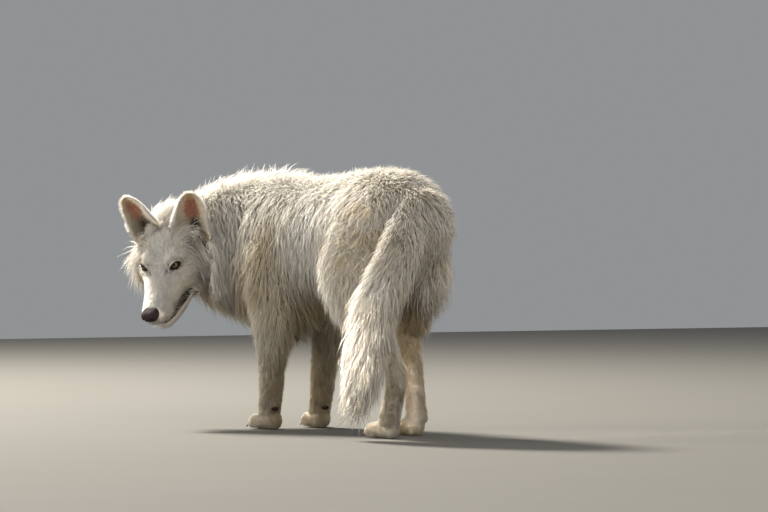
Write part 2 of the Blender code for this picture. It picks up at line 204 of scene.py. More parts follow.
# the Catmull-Rom curve through the stations, with a number of steps to each gap
def through(stations, steps):
    rows = np.array(stations, float)
    rows = np.vstack([2 * rows[0] - rows[1], rows, 2 * rows[-1] - rows[-2]])
    t = np.linspace(0, 1, steps, endpoint=False)[:, None]
    out = []
    for a, b, c, d in zip(rows, rows[1:], rows[2:], rows[3:]):
        out.append(b + 0.5 * ((c - a) * t + (2 * a - 5 * b + 4 * c - d) * t**2 + (3 * b - a - 3 * c + d) * t**3))
    return np.vstack([*out, rows[-2:-1]])


# a closed tube along a path. A station is x, y, z, half width, extent along up and extent the other way;
# each ring is two half ellipses, and the ends close in domes
def loft(stations, up, sides=32, steps=6, dome=0.6, rounds=5):
    rows = through(stations, steps)
    ways = unit(np.gradient(rows[:, :3], axis=0))
    heights = np.sin(np.linspace(0, np.pi / 2, rounds + 1))[1:, None]

    def domeRows(row, way):
        rings = np.repeat(row[None], rounds, 0)
        rings[:, :3] += way * heights * dome * row[3:].min()
        rings[:, 3:] *= np.maximum(np.sqrt(1 - heights**2), 0.05)
        return rings

    full = np.vstack([domeRows(rows[0], -ways[0])[::-1], rows, domeRows(rows[-1], ways[-1])])
    along = np.vstack([np.repeat(ways[:1], rounds, 0), ways, np.repeat(ways[-1:], rounds, 0)])
    side = unit(np.cross(along, up))
    top = np.cross(side, along)
    turn = np.linspace(0, 2 * np.pi, sides, endpoint=False)
    tall = np.where(np.sin(turn) > 0, full[:, 4:5], full[:, 5:6])
    points = (
        full[:, None, :3]
        + side[:, None] * (np.cos(turn) * full[:, 3:4])[..., None]
        + top[:, None] * (np.sin(turn) * tall)[..., None]
    )
    triangles = tubeTriangles(len(full), sides)[:, ::-1]
    return dict(points=points.reshape(-1, 3), triangles=triangles, rows=full, ways=along, side=side, top=top)


# a ball with three radii along the given axes
def ball(centre, radii, axes, sides=24):
    polar = np.linspace(0.02, np.pi - 0.02, sides // 2)[:, None]
    turn = np.linspace(0, 2 * np.pi, sides, endpoint=False)
    shape = np.stack(np.broadcast_arrays(np.sin(polar) * np.cos(turn), np.sin(polar) * np.sin(turn), np.cos(polar)), -1)
    points = centre + (shape * radii) @ np.array(axes)
    triangles = tubeTriangles(len(polar), sides)[:, ::-1]
    return dict(points=points.reshape(-1, 3), triangles=triangles)


# several shapes in one list of points and one of triangles
def joined(shapes):
    starts = np.cumsum([0] + [len(shape["points"]) for shape in shapes])
    points = np.vstack([shape["points"] for shape in shapes])
    return points, np.vstack([shape["triangles"] + start for shape, start in zip(shapes, starts)])


# one closed surface round all the shapes, rebuilt on a grid of the given size
def remeshed(name, shapes, voxel):
    piece = newPiece(name, *joined(shapes))
    join = piece.modifiers.new("join", "REMESH")
    join.mode, join.voxel_size = "VOXEL", voxel
    points, triangles = arraysOf(piece)
    bpy.data.objects.remove(piece)
    return points, triangles


# the triangles, turned over if they look inwards: the volume between them and the centre is then below 0
def facingOut(points, triangles, centre):
    a, b, c = (points[triangles[:, k]] - centre for k in range(3))
    return triangles[:, ::-1] if dot(a, np.cross(b, c)).sum() < 0 else triangles


# the head's turn, nod and lean in degrees, and where the middle of the eyes is, from the trunk's midline
head = dict(yaw=122, pitch=45, roll=4, eyes=(0.285, -0.484, 0.442), eyeDrop=0.001)
up = np.array([0.0, 0.0, 1.0])


# rows: ahead along the muzzle, to the head's left, and out of the forehead
def headAxes():
    yaw, pitch, roll = (math.radians(head[k]) for k in ("yaw", "pitch", "roll"))
    heading = np.array([math.sin(yaw), -math.cos(yaw), 0])
    ahead = heading * math.cos(pitch) - up * math.sin(pitch)
    brow = heading * math.sin(pitch) + up * math.cos(pitch)
    brow = brow * math.cos(roll) + np.cross(ahead, brow) * math.sin(roll)
    return np.array([ahead, np.cross(brow, ahead), brow])


# the middle of a node's box
def middleOf(node):
    return np.array([tuple(v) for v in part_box(node)]).mean(0)


axes = headAxes()
ahead, left, brow = axes
eyeMiddle = (middleOf("eye_left") + middleOf("eye_right")) / 2 - brow * head["eyeDrop"]
shift = eyeMiddle - head["eyes"]        # from the trunk's midline to the frame's origin
shift[2] = 0
print("shift", shift, "eyes", eyeMiddle)


# a point given along the muzzle, to the head's left, and out of its forehead
def onHead(*place):
    return eyeMiddle + np.array(place) @ axes


# stations on the head's axes, or from the trunk's midline, brought to their place
def headStations(rows):
    return [(*onHead(*row[:3]), *row[3:]) for row in rows]


def bodyStations(rows):
    return [(row[0] + shift[0], row[1] + shift[1], *row[2:]) for row in rows]


# the camera's turn in degrees, its lens in millimetres, its place and how far up it is shifted
view = dict(turn=33, lens=171.4, place=(5.213, 8.222, 0.5), shiftY=-0.015)


# gives back which way the camera looks and which way is to its right
def setCamera():
    turn = math.radians(view["turn"])
    look = Vector((-math.sin(turn), -math.cos(turn), 0))
    right = Vector((-math.cos(turn), math.sin(turn), 0))
    data = bpy.data.cameras.new("camera")
    data.sensor_width, data.lens, data.shift_y, data.clip_end = 36, view["lens"], view["shiftY"], 100
    camera = bpy.data.objects.new("camera", data)
    bpy.context.scene.collection.objects.link(camera)
    place = Vector(view["place"]) + Vector(shift)
    camera.matrix_world = Matrix.Translation(place) @ Matrix((right, Vector(up), -look)).transposed().to_4x4()
    bpy.context.scene.camera = camera
    return look, right


look, right = setCamera()

# each light's way is to the right, away from the camera, and up; the accent falls on the lower part of the tail
studio = dict(
    floor=(0.126, 0.123, 0.114), floorPale=(0.136, 0.133, 0.124), world=(0.94, 0.97, 1.0), worldPower=0.30,
    lights=dict(
        key=dict(way=(-0.54, 0.62, 0.82), away=7.5, size=1.4, power=1750, colour=(1.0, 0.94, 0.83)),
        side=dict(way=(-0.98, -0.02, 0.22), away=6.0, size=1.6, power=200, colour=(1.0, 0.92, 0.78)),
        fill=dict(way=(0.30, -0.9, 0.48), away=6.5, size=4.0, power=190, colour=(1.0, 0.94, 0.84)),
        low=dict(way=(0.80, -0.55, 0.12), away=6.0, size=3.0, power=52, colour=(1.0, 0.87, 0.68)),
        accent=dict(
            way=(-0.80, -0.50, 0.24), away=2.4, size=0.14, power=0.5, colour=(1.0, 0.93, 0.80),
            aim=(0.168, 0.386, 0.205), spread=9)))
wolfMiddle = (0, 0, 0.4)        # what the other lights point at


def areaLight(name, way, away, size, power, colour, aim=None, spread=180):
    data = bpy.data.lights.new(name, "AREA")
    data.size, data.energy, data.color, data.spread = size, power, colour, math.radians(spread)
    light = bpy.data.objects.new(name, data)
    bpy.context.scene.collection.objects.link(light)
    way = (right * way[0] + look * way[1] + Vector(up) * way[2]).normalized()
    light.location = Vector(wolfMiddle if aim is None else aim + shift) + way * away
    light.rotation_euler = way.to_track_quat("Z", "Y").to_euler()


for name, light in studio["lights"].items():
    areaLight(name, **light)
world = bpy.data.worlds.new("studio")
world.use_nodes = True
world.node_tree.nodes["Background"].inputs["Color"].default_value = (*studio["world"], 1)
world.node_tree.nodes["Background"].inputs["Strength"].default_value = studio["worldPower"]
bpy.context.scene.world = world
bpy.context.scene.cycles.max_bounces, bpy.context.scene.cycles.diffuse_bounces = 5, 4
bpy.context.scene.view_settings.view_transform = "Standard"
print("camera and light set")


def newMaterial(name, colour, roughness, **values):
    material = bpy.data.materials.new(name)
    material.use_nodes = True
    shader = material.node_tree.nodes["Principled BSDF"]
    shader.inputs["Base Color"].default_value = (*colour, 1)
    shader.inputs["Roughness"].default_value = roughness
    shader.inputs["Metallic"].default_value = 0
    for socket, value in values.items():
        shader.inputs[socket].default_value = value
    return material


# a node with its settings, and what its sockets hold: a value, or the output linked to them
def addNode(tree, kind, sockets=None, **values):
    node = tree.nodes.new(kind)
    for key, value in values.items():
        setattr(node, key, value)
    for socket, value in (sockets or {}).items():
        if isinstance(value, bpy.types.NodeSocket):
            tree.links.new(value, node.inputs[socket])
        else:
            node.inputs[socket].default_value = value
    return node


# one colour over another, or the two multiplied; a colour is three numbers or an output
def mixColours(tree, share, one, two, mode="MIX"):
    one, two = ((*colour, 1) if isinstance(colour, tuple) else colour for colour in (one, two))
    node = addNode(tree, "ShaderNodeMix", data_type="RGBA", blend_type=mode, sockets={0: share, 6: one, 7: two})
    return node.outputs[2]


def colourWith(tree, colour):
    tree.links.new(colour, tree.nodes["Principled BSDF"].inputs["Base Color"])


# relief: a height of 1 stands out by the distance, in metres
def raiseWith(tree, height, strength, distance, **values):
    relief = addNode(tree, "ShaderNodeBump", dict(Height=height, Strength=strength, Distance=distance), **values)
    tree.links.new(relief.outputs["Normal"], tree.nodes["Principled BSDF"].inputs["Normal"])


# a node group with named sockets, each a Float or a Color
def newGroup(name, inputs, outputs):
    tree = bpy.data.node_groups.new(name, "ShaderNodeTree")
    for way, sockets in (("INPUT", inputs), ("OUTPUT", outputs)):
        for socket, kind in sockets.items():
            tree.interface.new_socket(socket, in_out=way, socket_type=f"NodeSocket{kind}")
    return tree, addNode(tree, "NodeGroupInput").outputs, addNode(tree, "NodeGroupOutput").inputs


coatColours = dict(
    cream=(0.95, 0.915, 0.85), tan=(0.55, 0.375, 0.18), grey=(0.33, 0.29, 0.235), dark=(0.014, 0.011, 0.010),
    root=0.80, rootWarmth=1.35, rootEnd=0.55)       # how dark and warm the painted shade at the hair's root is, and how far out along the hair it reaches


# the coat's colours: cream turned tan, then grey, shaded at the hair's root, then dark
def coatGroup():
    inputs = dict(Tan="Float", Grey="Float", Dark="Float", Out="Float")
    tree, source, result = newGroup("coatTones", inputs, dict(Colour="Color"))
    colour = mixColours(tree, source["Tan"], coatColours["cream"], coatColours["tan"])
    colour = mixColours(tree, source["Grey"], colour, coatColours["grey"])
    limits = {"From Min": 0.0, "From Max": coatColours["rootEnd"], "To Min": coatColours["root"], "To Max": 1.0}
    sockets = {"Value": source["Out"], **limits}
    shade = addNode(tree, "ShaderNodeMapRange", sockets, interpolation_type="SMOOTHSTEP").outputs[0]
    warm = addNode(tree, "ShaderNodeMath", {0: shade, 1: coatColours["rootWarmth"]}, operation="POWER").outputs[0]
    tint = addNode(tree, "ShaderNodeCombineColor", {0: shade, 1: shade, 2: warm}).outputs[0]
    colour = mixColours(tree, 1.0, colour, tint, "MULTIPLY")
    tree.links.new(mixColours(tree, source["Dark"], colour, coatColours["dark"]), result["Colour"])
    return tree


# uneven colour and relief: cloudy noise mixes the two colours, and gives the height
def mottleGroup():
    inputs = dict(One="Color", Two="Color", Scale="Float", Detail="Float")
    tree, source, result = newGroup("mottle", inputs, dict(Colour="Color", Height="Float"))
    place = addNode(tree, "ShaderNodeTexCoord").outputs["Object"]
    sockets = dict(Vector=place, Scale=source["Scale"], Detail=source["Detail"])
    noise = addNode(tree, "ShaderNodeTexNoise", sockets).outputs["Fac"]
    tree.links.new(mixColours(tree, noise, source["One"], source["Two"]), result["Colour"])
    tree.links.new(noise, result["Height"])
    return tree


coatTones, mottle = coatGroup(), mottleGroup()


def addMottle(tree, scale, detail, one=(0, 0, 0), two=(1, 1, 1)):
    sockets = dict(One=(*one, 1), Two=(*two, 1), Scale=scale, Detail=detail)
    return addNode(tree, "ShaderNodeGroup", sockets, node_tree=mottle).outputs


def mottled(name, one, two, roughness, scale, bump=0.0, **values):
    material = newMaterial(name, one, roughness, **values)
    tree = material.node_tree
    patches = addMottle(tree, scale, 4, one, two)
    colourWith(tree, patches["Colour"])
    if bump:
        raiseWith(tree, patches["Height"], bump, 0.001)
    return material


# what carries hair: its attribute "coat" says how tan, grey and dark it is, and how far out along the hair
def coatMaterial(name, roughness, bump=0.0, **values):
    material = newMaterial(name, coatColours["cream"], roughness, **values)
    tree = material.node_tree
    source = addNode(tree, "ShaderNodeAttribute", attribute_name="coat").outputs
    parts = addNode(tree, "ShaderNodeSeparateColor", {0: source["Color"]}).outputs
    sockets = dict(Tan=parts[0], Grey=parts[1], Dark=parts[2], Out=source["Alpha"])
    colourWith(tree, addNode(tree, "ShaderNodeGroup", sockets, node_tree=coatTones).outputs["Colour"])
    if bump:
        raiseWith(tree, addMottle(tree, 420, 3)["Height"], bump, 0.002)
    return material


# gloss, and light that goes a little way into hair or skin and comes out warmer
def softLight(gloss, weight, reach):
    light = {"Subsurface Weight": weight, "Subsurface Scale": reach, "Subsurface Radius": (1.0, 0.9, 0.72)}
    return {"Specular IOR Level": gloss, **light}


hairMaterial = coatMaterial("coat hair", 0.55, **softLight(0.25, 0.7, 0.006))
skinMaterial = coatMaterial("underfur", 0.8, bump=0.8, **softLight(0.15, 0.4, 0.003))
floorMaterial = mottled("floor", studio["floor"], studio["floorPale"], 0.9, 3.0)
floorPoints = np.array([(-9, -9, 0), (9, -9, 0), (9, 9, 0), (-9, 9, 0)], float) - up * 0.0004
floor = newPiece("floor", floorPoints, np.array([(0, 1, 2), (0, 2, 3)]), floorMaterial)


# how the coat lies on a part of the skin: length for each unit of depth, width, sway, clump size, how far down it
# hangs, and how densely it covers
def coat(ratio, width, sway, clump, hang, cover):
    return dict(ratio=ratio, width=width, sway=sway, clump=clump, hang=hang, cover=cover)


# where each paw stands (x and y), how far it is turned in degrees, and how far behind it the hock or wrist is
stance = {
    "hind_left": (0.068, 0.302, 8, 0.056),
    "hind_right": (-0.062, 0.228, -8, -0.004),
    "fore_left": (0.080, -0.262, 10, 0.020),
    "fore_right": (-0.080, -0.262, -8, 0.020),
}
skin = dict(voxel=0.0046, smoothing=5, sole=0.0008)
paw = dict(length=0.100, width=0.076, fan=13)


# a leg's stations from the body down: x, y, z, half width of the skin itself, and its extent ahead and behind
def legStations(name):
    x, y, _, heel = stance[name]
    side = 1 if x > 0 else -1
    joint = y + heel
    if name.startswith("hind"):
        return [
            (side * 0.070, 0.200, 0.560, 0.042, 0.096, 0.105),
            (side * 0.080, 0.190, 0.450, 0.046, 0.108, 0.135),
            (side * 0.084, (joint + 0.100) / 2, 0.350, 0.034, 0.084, 0.100),
            (side * 0.082, joint - 0.080, 0.270, 0.026, 0.048, 0.074),
            (side * 0.076, joint - 0.018, 0.205, 0.021, 0.027, 0.029),
            (side * 0.070, joint, 0.160, 0.021, 0.026, 0.026),
            (side * 0.068, (joint + y) / 2 + 0.014, 0.100, 0.021, 0.023, 0.023),
            (side * 0.068, y + 0.022, 0.045, 0.025, 0.026, 0.022),
        ]
    return [
        (side * 0.072, joint, 0.510, 0.036, 0.080, 0.080),
        (side * 0.084, joint, 0.410, 0.039, 0.060, 0.082),
        (side * 0.088, joint + 0.010, 0.320, 0.034, 0.040, 0.074),
        (side * 0.086, joint + 0.010, 0.245, 0.030, 0.032, 0.060),
        (side * 0.083, joint + 0.004, 0.175, 0.027, 0.029, 0.040),
        (side * 0.081, joint, 0.110, 0.026, 0.027, 0.032),
        (side * 0.080, y + 0.010, 0.050, 0.026, 0.026, 0.027),
    ]


bodyUp, legUp, tailUp = up, np.array([0.0, -1.0, 0.0]), np.array([0.0, 1.0, 0.0])
# stations of the other parts, with the extents along up and the other way; turned is -1 where the hair runs
# against the stations' order
skinParts = {
    "trunk": dict(
        stations=bodyStations([
            (0, 0.366, 0.560, 0.072, 0.074, 0.078),
            (0, 0.300, 0.555, 0.104, 0.114, 0.115),
            (0, 0.200, 0.550, 0.110, 0.129, 0.122),
            (0, 0.100, 0.545, 0.098, 0.130, 0.128),
            (0, -0.020, 0.540, 0.092, 0.124, 0.148),
            (0, -0.140, 0.530, 0.098, 0.130, 0.184),
            (0, -0.250, 0.520, 0.100, 0.146, 0.244),
            (0, -0.340, 0.515, 0.092, 0.144, 0.232),
            (0, -0.400, 0.505, 0.066, 0.112, 0.176),
        ]), up=bodyUp, turned=-1, coat=coat(2.2, 0.0026, 0.15, 0.018, 1.7, 5.8)),
    "neck": dict(
        stations=bodyStations([
            (0.000, -0.230, 0.520, 0.078, 0.134, 0.166),
            (0.015, -0.350, 0.520, 0.080, 0.142, 0.196),
            (0.060, -0.450, 0.515, 0.076, 0.138, 0.170),
            (0.130, -0.520, 0.512, 0.068, 0.110, 0.128),
            (0.190, -0.542, 0.515, 0.060, 0.076, 0.092),
        ]), up=bodyUp, turned=-1, coat=coat(2.0, 0.0026, 0.14, 0.018, 1.5, 6.2)),
    "skull": dict(
        stations=headStations([
            (-0.175, 0, -0.025, 0.052, 0.052, 0.060),
            (-0.140, 0, -0.020, 0.066, 0.068, 0.070),
            (-0.100, 0, -0.018, 0.074, 0.070, 0.076),
            (-0.060, 0, -0.024, 0.080, 0.062, 0.080),
            (-0.030, 0, -0.031, 0.076, 0.055, 0.080),
            (0.000, 0, -0.038, 0.066, 0.051, 0.068),
            (0.030, 0, -0.044, 0.053, 0.041, 0.048),
            (0.060, 0, -0.052, 0.045, 0.035, 0.037),
            (0.095, 0, -0.058, 0.039, 0.030, 0.031),
            (0.120, 0, -0.062, 0.036, 0.027, 0.024),
            (0.137, 0, -0.063, 0.029, 0.022, 0.020),
        ]), up=brow, turned=-1, dome=0.4, coat=coat(2.0, 0.0018, 0.10, 0.012, 0.0, 5.0)),
    "jaw": dict(
        stations=headStations([
            (-0.040, 0, -0.100, 0.056, 0.030, 0.036),
            (0.000, 0, -0.108, 0.049, 0.018, 0.032),
            (0.050, 0, -0.116, 0.038, 0.018, 0.025),
            (0.090, 0, -0.113, 0.028, 0.017, 0.020),
            (0.112, 0, -0.107, 0.019, 0.011, 0.013),
        ]), up=brow, turned=-1, dome=0.5, coat=coat(1.8, 0.0018, 0.10, 0.012, 0.0, 3.5)),
    "tail": dict(
        stations=bodyStations([
            (0.000, 0.325, 0.602, 0.026, 0.024, 0.028),
            (0.045, 0.378, 0.562, 0.032, 0.029, 0.030),
            (0.085, 0.408, 0.497, 0.034, 0.030, 0.030),
            (0.117, 0.405, 0.425, 0.034, 0.029, 0.029),
            (0.151, 0.394, 0.350, 0.032, 0.027, 0.027),
            (0.172, 0.386, 0.255, 0.028, 0.023, 0.023),
            (0.180, 0.376, 0.178, 0.021, 0.018, 0.018),
            (0.190, 0.365, 0.120, 0.010, 0.010, 0.010),
        ]), up=tailUp, turned=1, coat=coat(2.1, 0.0027, 0.13, 0.018, 0.0, 9.0)),
}
for name in stance:
    skinParts[name] = dict(
        stations=bodyStations(legStations(name)), up=legUp, turned=1, coat=coat(2.3, 0.0022, 0.18, 0.018, 0.0, 4.0))
for part in skinParts.values():
    part["loft"] = loft(part["stations"], part["up"], dome=part.get("dome", 0.6))


# four toes that fan out, the middle two further ahead
def toeStations(name):
    x, y, turn, _ = stance[name]
    for k in range(4):
        spread = (k - 1.5) / 1.5
        fan = math.radians(turn + paw["fan"] * spread)
        way = np.array([math.sin(fan), -math.cos(fan), 0])
        reach = paw["length"] * (0.47 - 0.13 * spread**2)
        base = np.array([x + spread * paw["width"] * 0.26, y, 0.0])
        knuckle, tip = base + way * reach * 0.35, base + way * reach
        middle = (knuckle + tip) / 2
        yield bodyStations([
            (knuckle[0], knuckle[1], 0.028, 0.0090, 0.0125, 0.026),
            (middle[0], middle[1], 0.0245, 0.0098, 0.0125, 0.0235),
            (tip[0], tip[1], 0.0150, 0.0085, 0.0095, 0.014),
        ])


# the middle of the paw, behind its toes
def padStations(name):
    x, y, turn, _ = stance[name]
    way = np.array([math.sin(math.radians(turn)), -math.cos(math.radians(turn)), 0])
    back, front = np.array([x, y, 0.026]) - way * 0.030, np.array([x, y, 0.025]) + way * 0.010
    return bodyStations([(*back, 0.0235, 0.019, 0.025), (*front, 0.031, 0.019, 0.0245)])

mirror = np.array([1.0, -1.0, 1.0])
gaze = unit(np.array([0.70, 0.45, 0.55]))       # of the left eye, on the head's own axes
flips = {"left": 1, "right": -1}
eyeCentre = {side: middleOf(f"eye_{side}") for side in flips}
eyeGaze = {"left": gaze @ axes, "right": (gaze * mirror) @ axes}


# rows: from the eye's inner corner outwards, up over the lids, and the way the eye looks
def axesOfEye(side, flip):
    forward = eyeGaze[side]
    across = flatOn(np.array([-0.62, flip * 0.74, 0.30]) @ axes, forward)
    return np.array([across, np.cross(forward, across) * flip, forward])


eyeAxes = {side: axesOfEye(side, flip) for side, flip in flips.items()}


# where points lie on an eye's axes
def inEye(points, side):
    return ((points - eyeCentre[side]) @ eyeAxes[side].T).T


# balls that fill out the shoulder and the head
def headLumps():
    yield ball(np.array([0.062, -0.348, 0.450]) + shift, (0.048, 0.064, 0.105), np.eye(3))     # front of the shoulder
    yield ball(onHead(-0.128, -0.006, 0.034), (0.050, 0.062, 0.028), axes)      # nape
    yield ball(onHead(-0.104, -0.034, 0.034), (0.028, 0.024, 0.024), axes)      # inner foot of the right ear
    for flip in (1, -1):
        yield ball(onHead(-0.020, flip * 0.034, 0.013), (0.028, 0.022, 0.0145), axes)       # brow
        yield ball(onHead(-0.032, flip * 0.052, -0.040), (0.042, 0.028, 0.034), axes)       # cheekbone
        yield ball(onHead(0.100, flip * 0.018, -0.072), (0.032, 0.020, 0.0155), axes)       # upper lip pad
        yield ball(onHead(-0.112, flip * 0.067, 0.004), (0.030, 0.029, 0.026), axes)        # root of the ear
        yield ball(onHead(-0.080, flip * 0.078, -0.052), (0.040, 0.030, 0.046), axes)       # cheek under the ruff
        yield ball(onHead(-0.048, flip * 0.056, -0.088), (0.042, 0.022, 0.032), axes)       # corner of the jaw
    for side in ("left", "right"):
        yield ball(eyeCentre[side] - eyeGaze[side] * 0.0050, (0.021, 0.021, 0.021), axes)   # socket


# all of it as one skin, smoothed; the toes keep their shape
def makeSkin():
    solids = [part["loft"] for part in skinParts.values()] + list(headLumps())
    for name in stance:
        solids += [loft(rows, up, sides=16) for rows in toeStations(name)]
        solids.append(loft(padStations(name), up, sides=20))
    points, triangles = remeshed("skin", solids, skin["voxel"])
    toes, rest = evened(points, triangles, 2), evened(points, triangles, skin["smoothing"])
    return toes + (rest - toes) * ramp(points[:, 2:], 0.035, 0.060), triangles


skinPoints, skinTriangles = makeSkin()
print("skin", len(skinPoints), "points", len(skinTriangles), "triangles")

# inside the lids the skin sinks behind the eyeball: its distance from the eye's centre shrinks to 9 mm
def sinkSockets(points):
    for side in flips:
        away = points - eyeCentre[side]
        reach = np.linalg.norm(away, axis=1)
        angle = np.degrees(np.arccos(np.clip(dot(away, eyeGaze[side]) / np.maximum(reach, 1e-6), -1, 1)))
        share = (1 - ramp(angle, 52, 74)) * (reach < 0.035)
        points = points - unit(away) * ((reach - 0.0090) * share)[:, None]
    return points


wholeFace = BVHTree.FromPolygons(skinPoints.tolist(), skinTriangles.tolist())
skinPoints = sinkSockets(skinPoints)
skinPoints[:, 2] = np.maximum(skinPoints[:, 2], skin["sole"])
skinNormals = vertexNormals(skinPoints, skinTriangles)


# the outline's solids, grown by 1 mm and joined, give the height that the hair tips reach
def coatOutline(names):
    solids = []
    for name in names:
        loose, triangles = arraysFrom(nodes[name].data)
        points, back = np.unique(np.round(loose, 6), axis=0, return_inverse=True)
        triangles = back.ravel()[triangles]
        solids.append(dict(points=points + vertexNormals(points, triangles) * 0.0010, triangles=triangles))
    return newPiece("outline", *remeshed("outline", solids, 0.006))


fleshNodes = ["trunk", "neck", "head", "lower_jaw", "tail"]
for name in stance:
    leg, end = name.split("_")
    fleshNodes += [f"{leg}leg_{end}_upper", f"{leg}leg_{end}_lower", f"{leg}paw_{end}"]


# how far it is from each point, straight out along its normal, to the outline
def depthOfCoat(points, triangles, furthest=0.09):
    outline = coatOutline(fleshNodes)
    probe = newPiece("probe", points, triangles)
    wrap = probe.modifiers.new("reach", "SHRINKWRAP")
    wrap.target, wrap.wrap_method = outline, "PROJECT"
    wrap.use_project_x = wrap.use_project_y = wrap.use_project_z = False
    wrap.use_positive_direction, wrap.use_negative_direction = True, False
    wrap.project_limit = furthest
    reached = arraysOf(probe)[0]
    for piece in (probe, outline):
        bpy.data.objects.remove(piece)
    return np.linalg.norm(reached - points, axis=1)


depth = depthOfCoat(skinPoints, skinTriangles)
print("depth", np.percentile(depth, [1, 10, 50, 90, 99]).round(4))
depth = evened(np.clip(depth, 0.002, 0.07), skinTriangles, 10)
smooth = evened(depth, skinTriangles, 40)
legs = (1 - ramp(skinPoints[:, 2], 0.36, 0.46)) * (np.linalg.norm(skinPoints - eyeMiddle, axis=1) > 0.2)
depth = depth + (smooth - depth) * legs

partNames = list(skinParts)
batch = 40000       # points worked on at a time, to save memory


# for every point and part: how near the point is to the part's path, in the part's own radii, and the nearest ring
def nearness(points):
    near, ring = np.zeros((len(points), len(partNames))), np.zeros((len(points), len(partNames)), int)
    for k, name in enumerate(partNames):
        rows = skinParts[name]["loft"]["rows"]
        radius = np.maximum(rows[:, 3:].mean(1), 0.012)
        for start in range(0, len(points), batch):
            some = slice(start, start + batch)
            apart = np.linalg.norm(points[some, None] - rows[:, :3], axis=2) / radius
            ring[some, k], near[some, k] = apart.argmin(1), apart.min(1)
    return near, ring


near, ring = nearness(skinPoints)
shares = np.exp(-7 * near)
shares /= shares.sum(1, keepdims=True)
inHead = (skinPoints - eyeMiddle) @ axes.T      # ahead, left, out of the forehead


# hair lies along each part's path, hanging down on its sides; on the face it runs back from the nose,
# out over the cheeks and round the eyes, and on the paws it runs forwards
def lieOfHair():
    lie = np.zeros_like(skinPoints)
    for k, name in enumerate(partNames):
        part = skinParts[name]
        way = part["loft"]["ways"][ring[:, k]] * part["turned"] - up * part["coat"]["hang"]
        if name in ("skull", "jaw"):
            cheek = ramp(np.abs(inHead[:, 1]), 0.035, 0.070) * ramp(-inHead[:, 0], -0.01, 0.05)
            out = np.sign(inHead[:, 1])[:, None] * left * 0.70 - up * 0.9 - ahead * 0.15
            way = unit(way + (out - way) * cheek[:, None])
        lie += way * shares[:, k:k + 1]
    for side in flips:
        away = skinPoints - eyeCentre[side]
        reach = np.linalg.norm(away, axis=1)
        lie += unit(away) * (1.2 * (1 - ramp(reach, 0.014, 0.032)))[:, None]
    onPaw = 1 - ramp(skinPoints[:, 2], 0.045, 0.085)
    lie += np.array([0, -2.2, 0]) * onPaw[:, None]
    return flatOn(evened(flatOn(lie, skinNormals), skinTriangles, 14), skinNormals)


lie = lieOfHair()


# a value of the parts' coats, blended at each point by how near the parts are
def byPart(key):
    return shares @ np.array([skinParts[name]["coat"][key] for name in partNames])


# how far points lie from a part's path
def apartFrom(points, name):
    rows = skinParts[name]["loft"]["rows"][:, :3]
    some = np.array_split(points, len(points) // batch + 1)
    return np.concatenate([np.linalg.norm(few[:, None] - rows, axis=2).min(1) for few in some])


# the black round an eye: an oval's middle, half width, and half height above and below it
eyeLine = dict(middle=(-0.0020, -0.0038), width=0.0205, above=0.0118, below=0.0092)


def eyeOval(across, over):
    x, y = across - eyeLine["middle"][0], over - eyeLine["middle"][1]
    return (x / eyeLine["width"]) ** 2 + (y / np.where(y > 0, eyeLine["above"], eyeLine["below"])) ** 2


def eyeRim(across, over):
    return 1 - ramp(eyeOval(across, over), 0.80, 1.15)


# 1 on what carries no hair: lips and the inside of the mouth, under the nose leather, inside the lids, the soles
def bareSkin():
    a, l, b = inHead.T
    mouth = ramp(a, -0.002, 0.008) * ramp(b, -0.114, -0.108) * (1 - ramp(b, -0.086, -0.078)) * (np.abs(l) < 0.05)
    inside = mouth * ramp(np.abs(skinNormals @ brow), 0.15, 0.35)
    snout = ramp(a, 0.128, 0.134) * (1 - ramp(np.abs(b + 0.046), 0.014, 0.018))
    sole = 1 - ramp(skinPoints[:, 2], 0.003, 0.006)
    face = 1 - ramp(np.linalg.norm(inHead, axis=1), 0.19, 0.21)
    lids = 0
    for side in flips:
        front = eyeCentre[side] + eyeGaze[side] * 0.008
        across, over, out = inEye(skinPoints, side)
        lids = lids + 1 - ramp(np.linalg.norm(skinPoints - front, axis=1), 0.011, 0.014)
        lids = lids + ramp(eyeRim(across, over), 0, 0.12) * (np.abs(out) < 0.03)
    return np.clip((inside + lids + snout) * face + sole, 0, 1), inside * face


bare, mouthShade = bareSkin()

ear = dict(
    height=0.104, width=0.112, taper=0.042, thick=0.0040,
    root={1: (-0.086, 0.080, 0.040), -1: (-0.091, -0.063, 0.053)},
    grows={1: (-0.092, 0.0085, 0.092), -1: (-0.077, -0.064, 0.092)}, looks={1: (0.85, 0.07, 0), -1: (0.85, 0.04, 0)},
    rows=26, turns=17, locks=5600, pink=(0.25, 0.080, 0.050),
    earShade=dict(middle=(0.012, 0, -0.010), half=(0.027, 0.038, 0.024), dark={1: 0.80, -1: 0.48}))      # painted shade round its foot, deeper on the left ear

# soft patches of the coat seen from the side: their middle's y and z, half width and half height; the one in the ruff's
# shade and the one round the tail's root are painted shade
patches = dict(
    haunch=(0.225, 0.525, 0.085, 0.105), flank=(-0.03, 0.50, 0.09, 0.12), rump=(0.30, 0.64, 0.09, 0.06),
    elbow=(-0.13, 0.37, 0.10, 0.07), chest=(-0.36, 0.39, 0.07, 0.07), underRuff=(-0.235, 0.43, 0.050, 0.065),
    shadedHollow=(-0.325, 0.42, 0.032, 0.080),        # painted shade of the ruff
    tailRootShade=(0.41, 0.53, 0.070, 0.075),            # painted shade round the root of the tail
    thigh=(0.24, 0.32, 0.07, 0.11))             # the right one, beside the tail
# what each patch adds to tan and to grey: the band behind the ruff, the hollow in its shade and the patch round the
# tail's root add painted shade; the legs, the belly and the patches under the body are partly the coat's own tan and
# partly painted shade with warm light bounced from below
tanShares = dict(
    flank=-0.20, haunch=0.38, ruffShadeBand=0.50, rump=0.16, tailRootShade=0.14, shadedHollow=0.62, legs=0.32, belly=0.32, thigh=0.34,
    under=0.36)
greyShares = dict(legs=0.17, belly=0.04, haunch=0.17, ruffShadeBand=0.52, shadedHollow=0.40, under=0.12, tailRootShade=0.30)
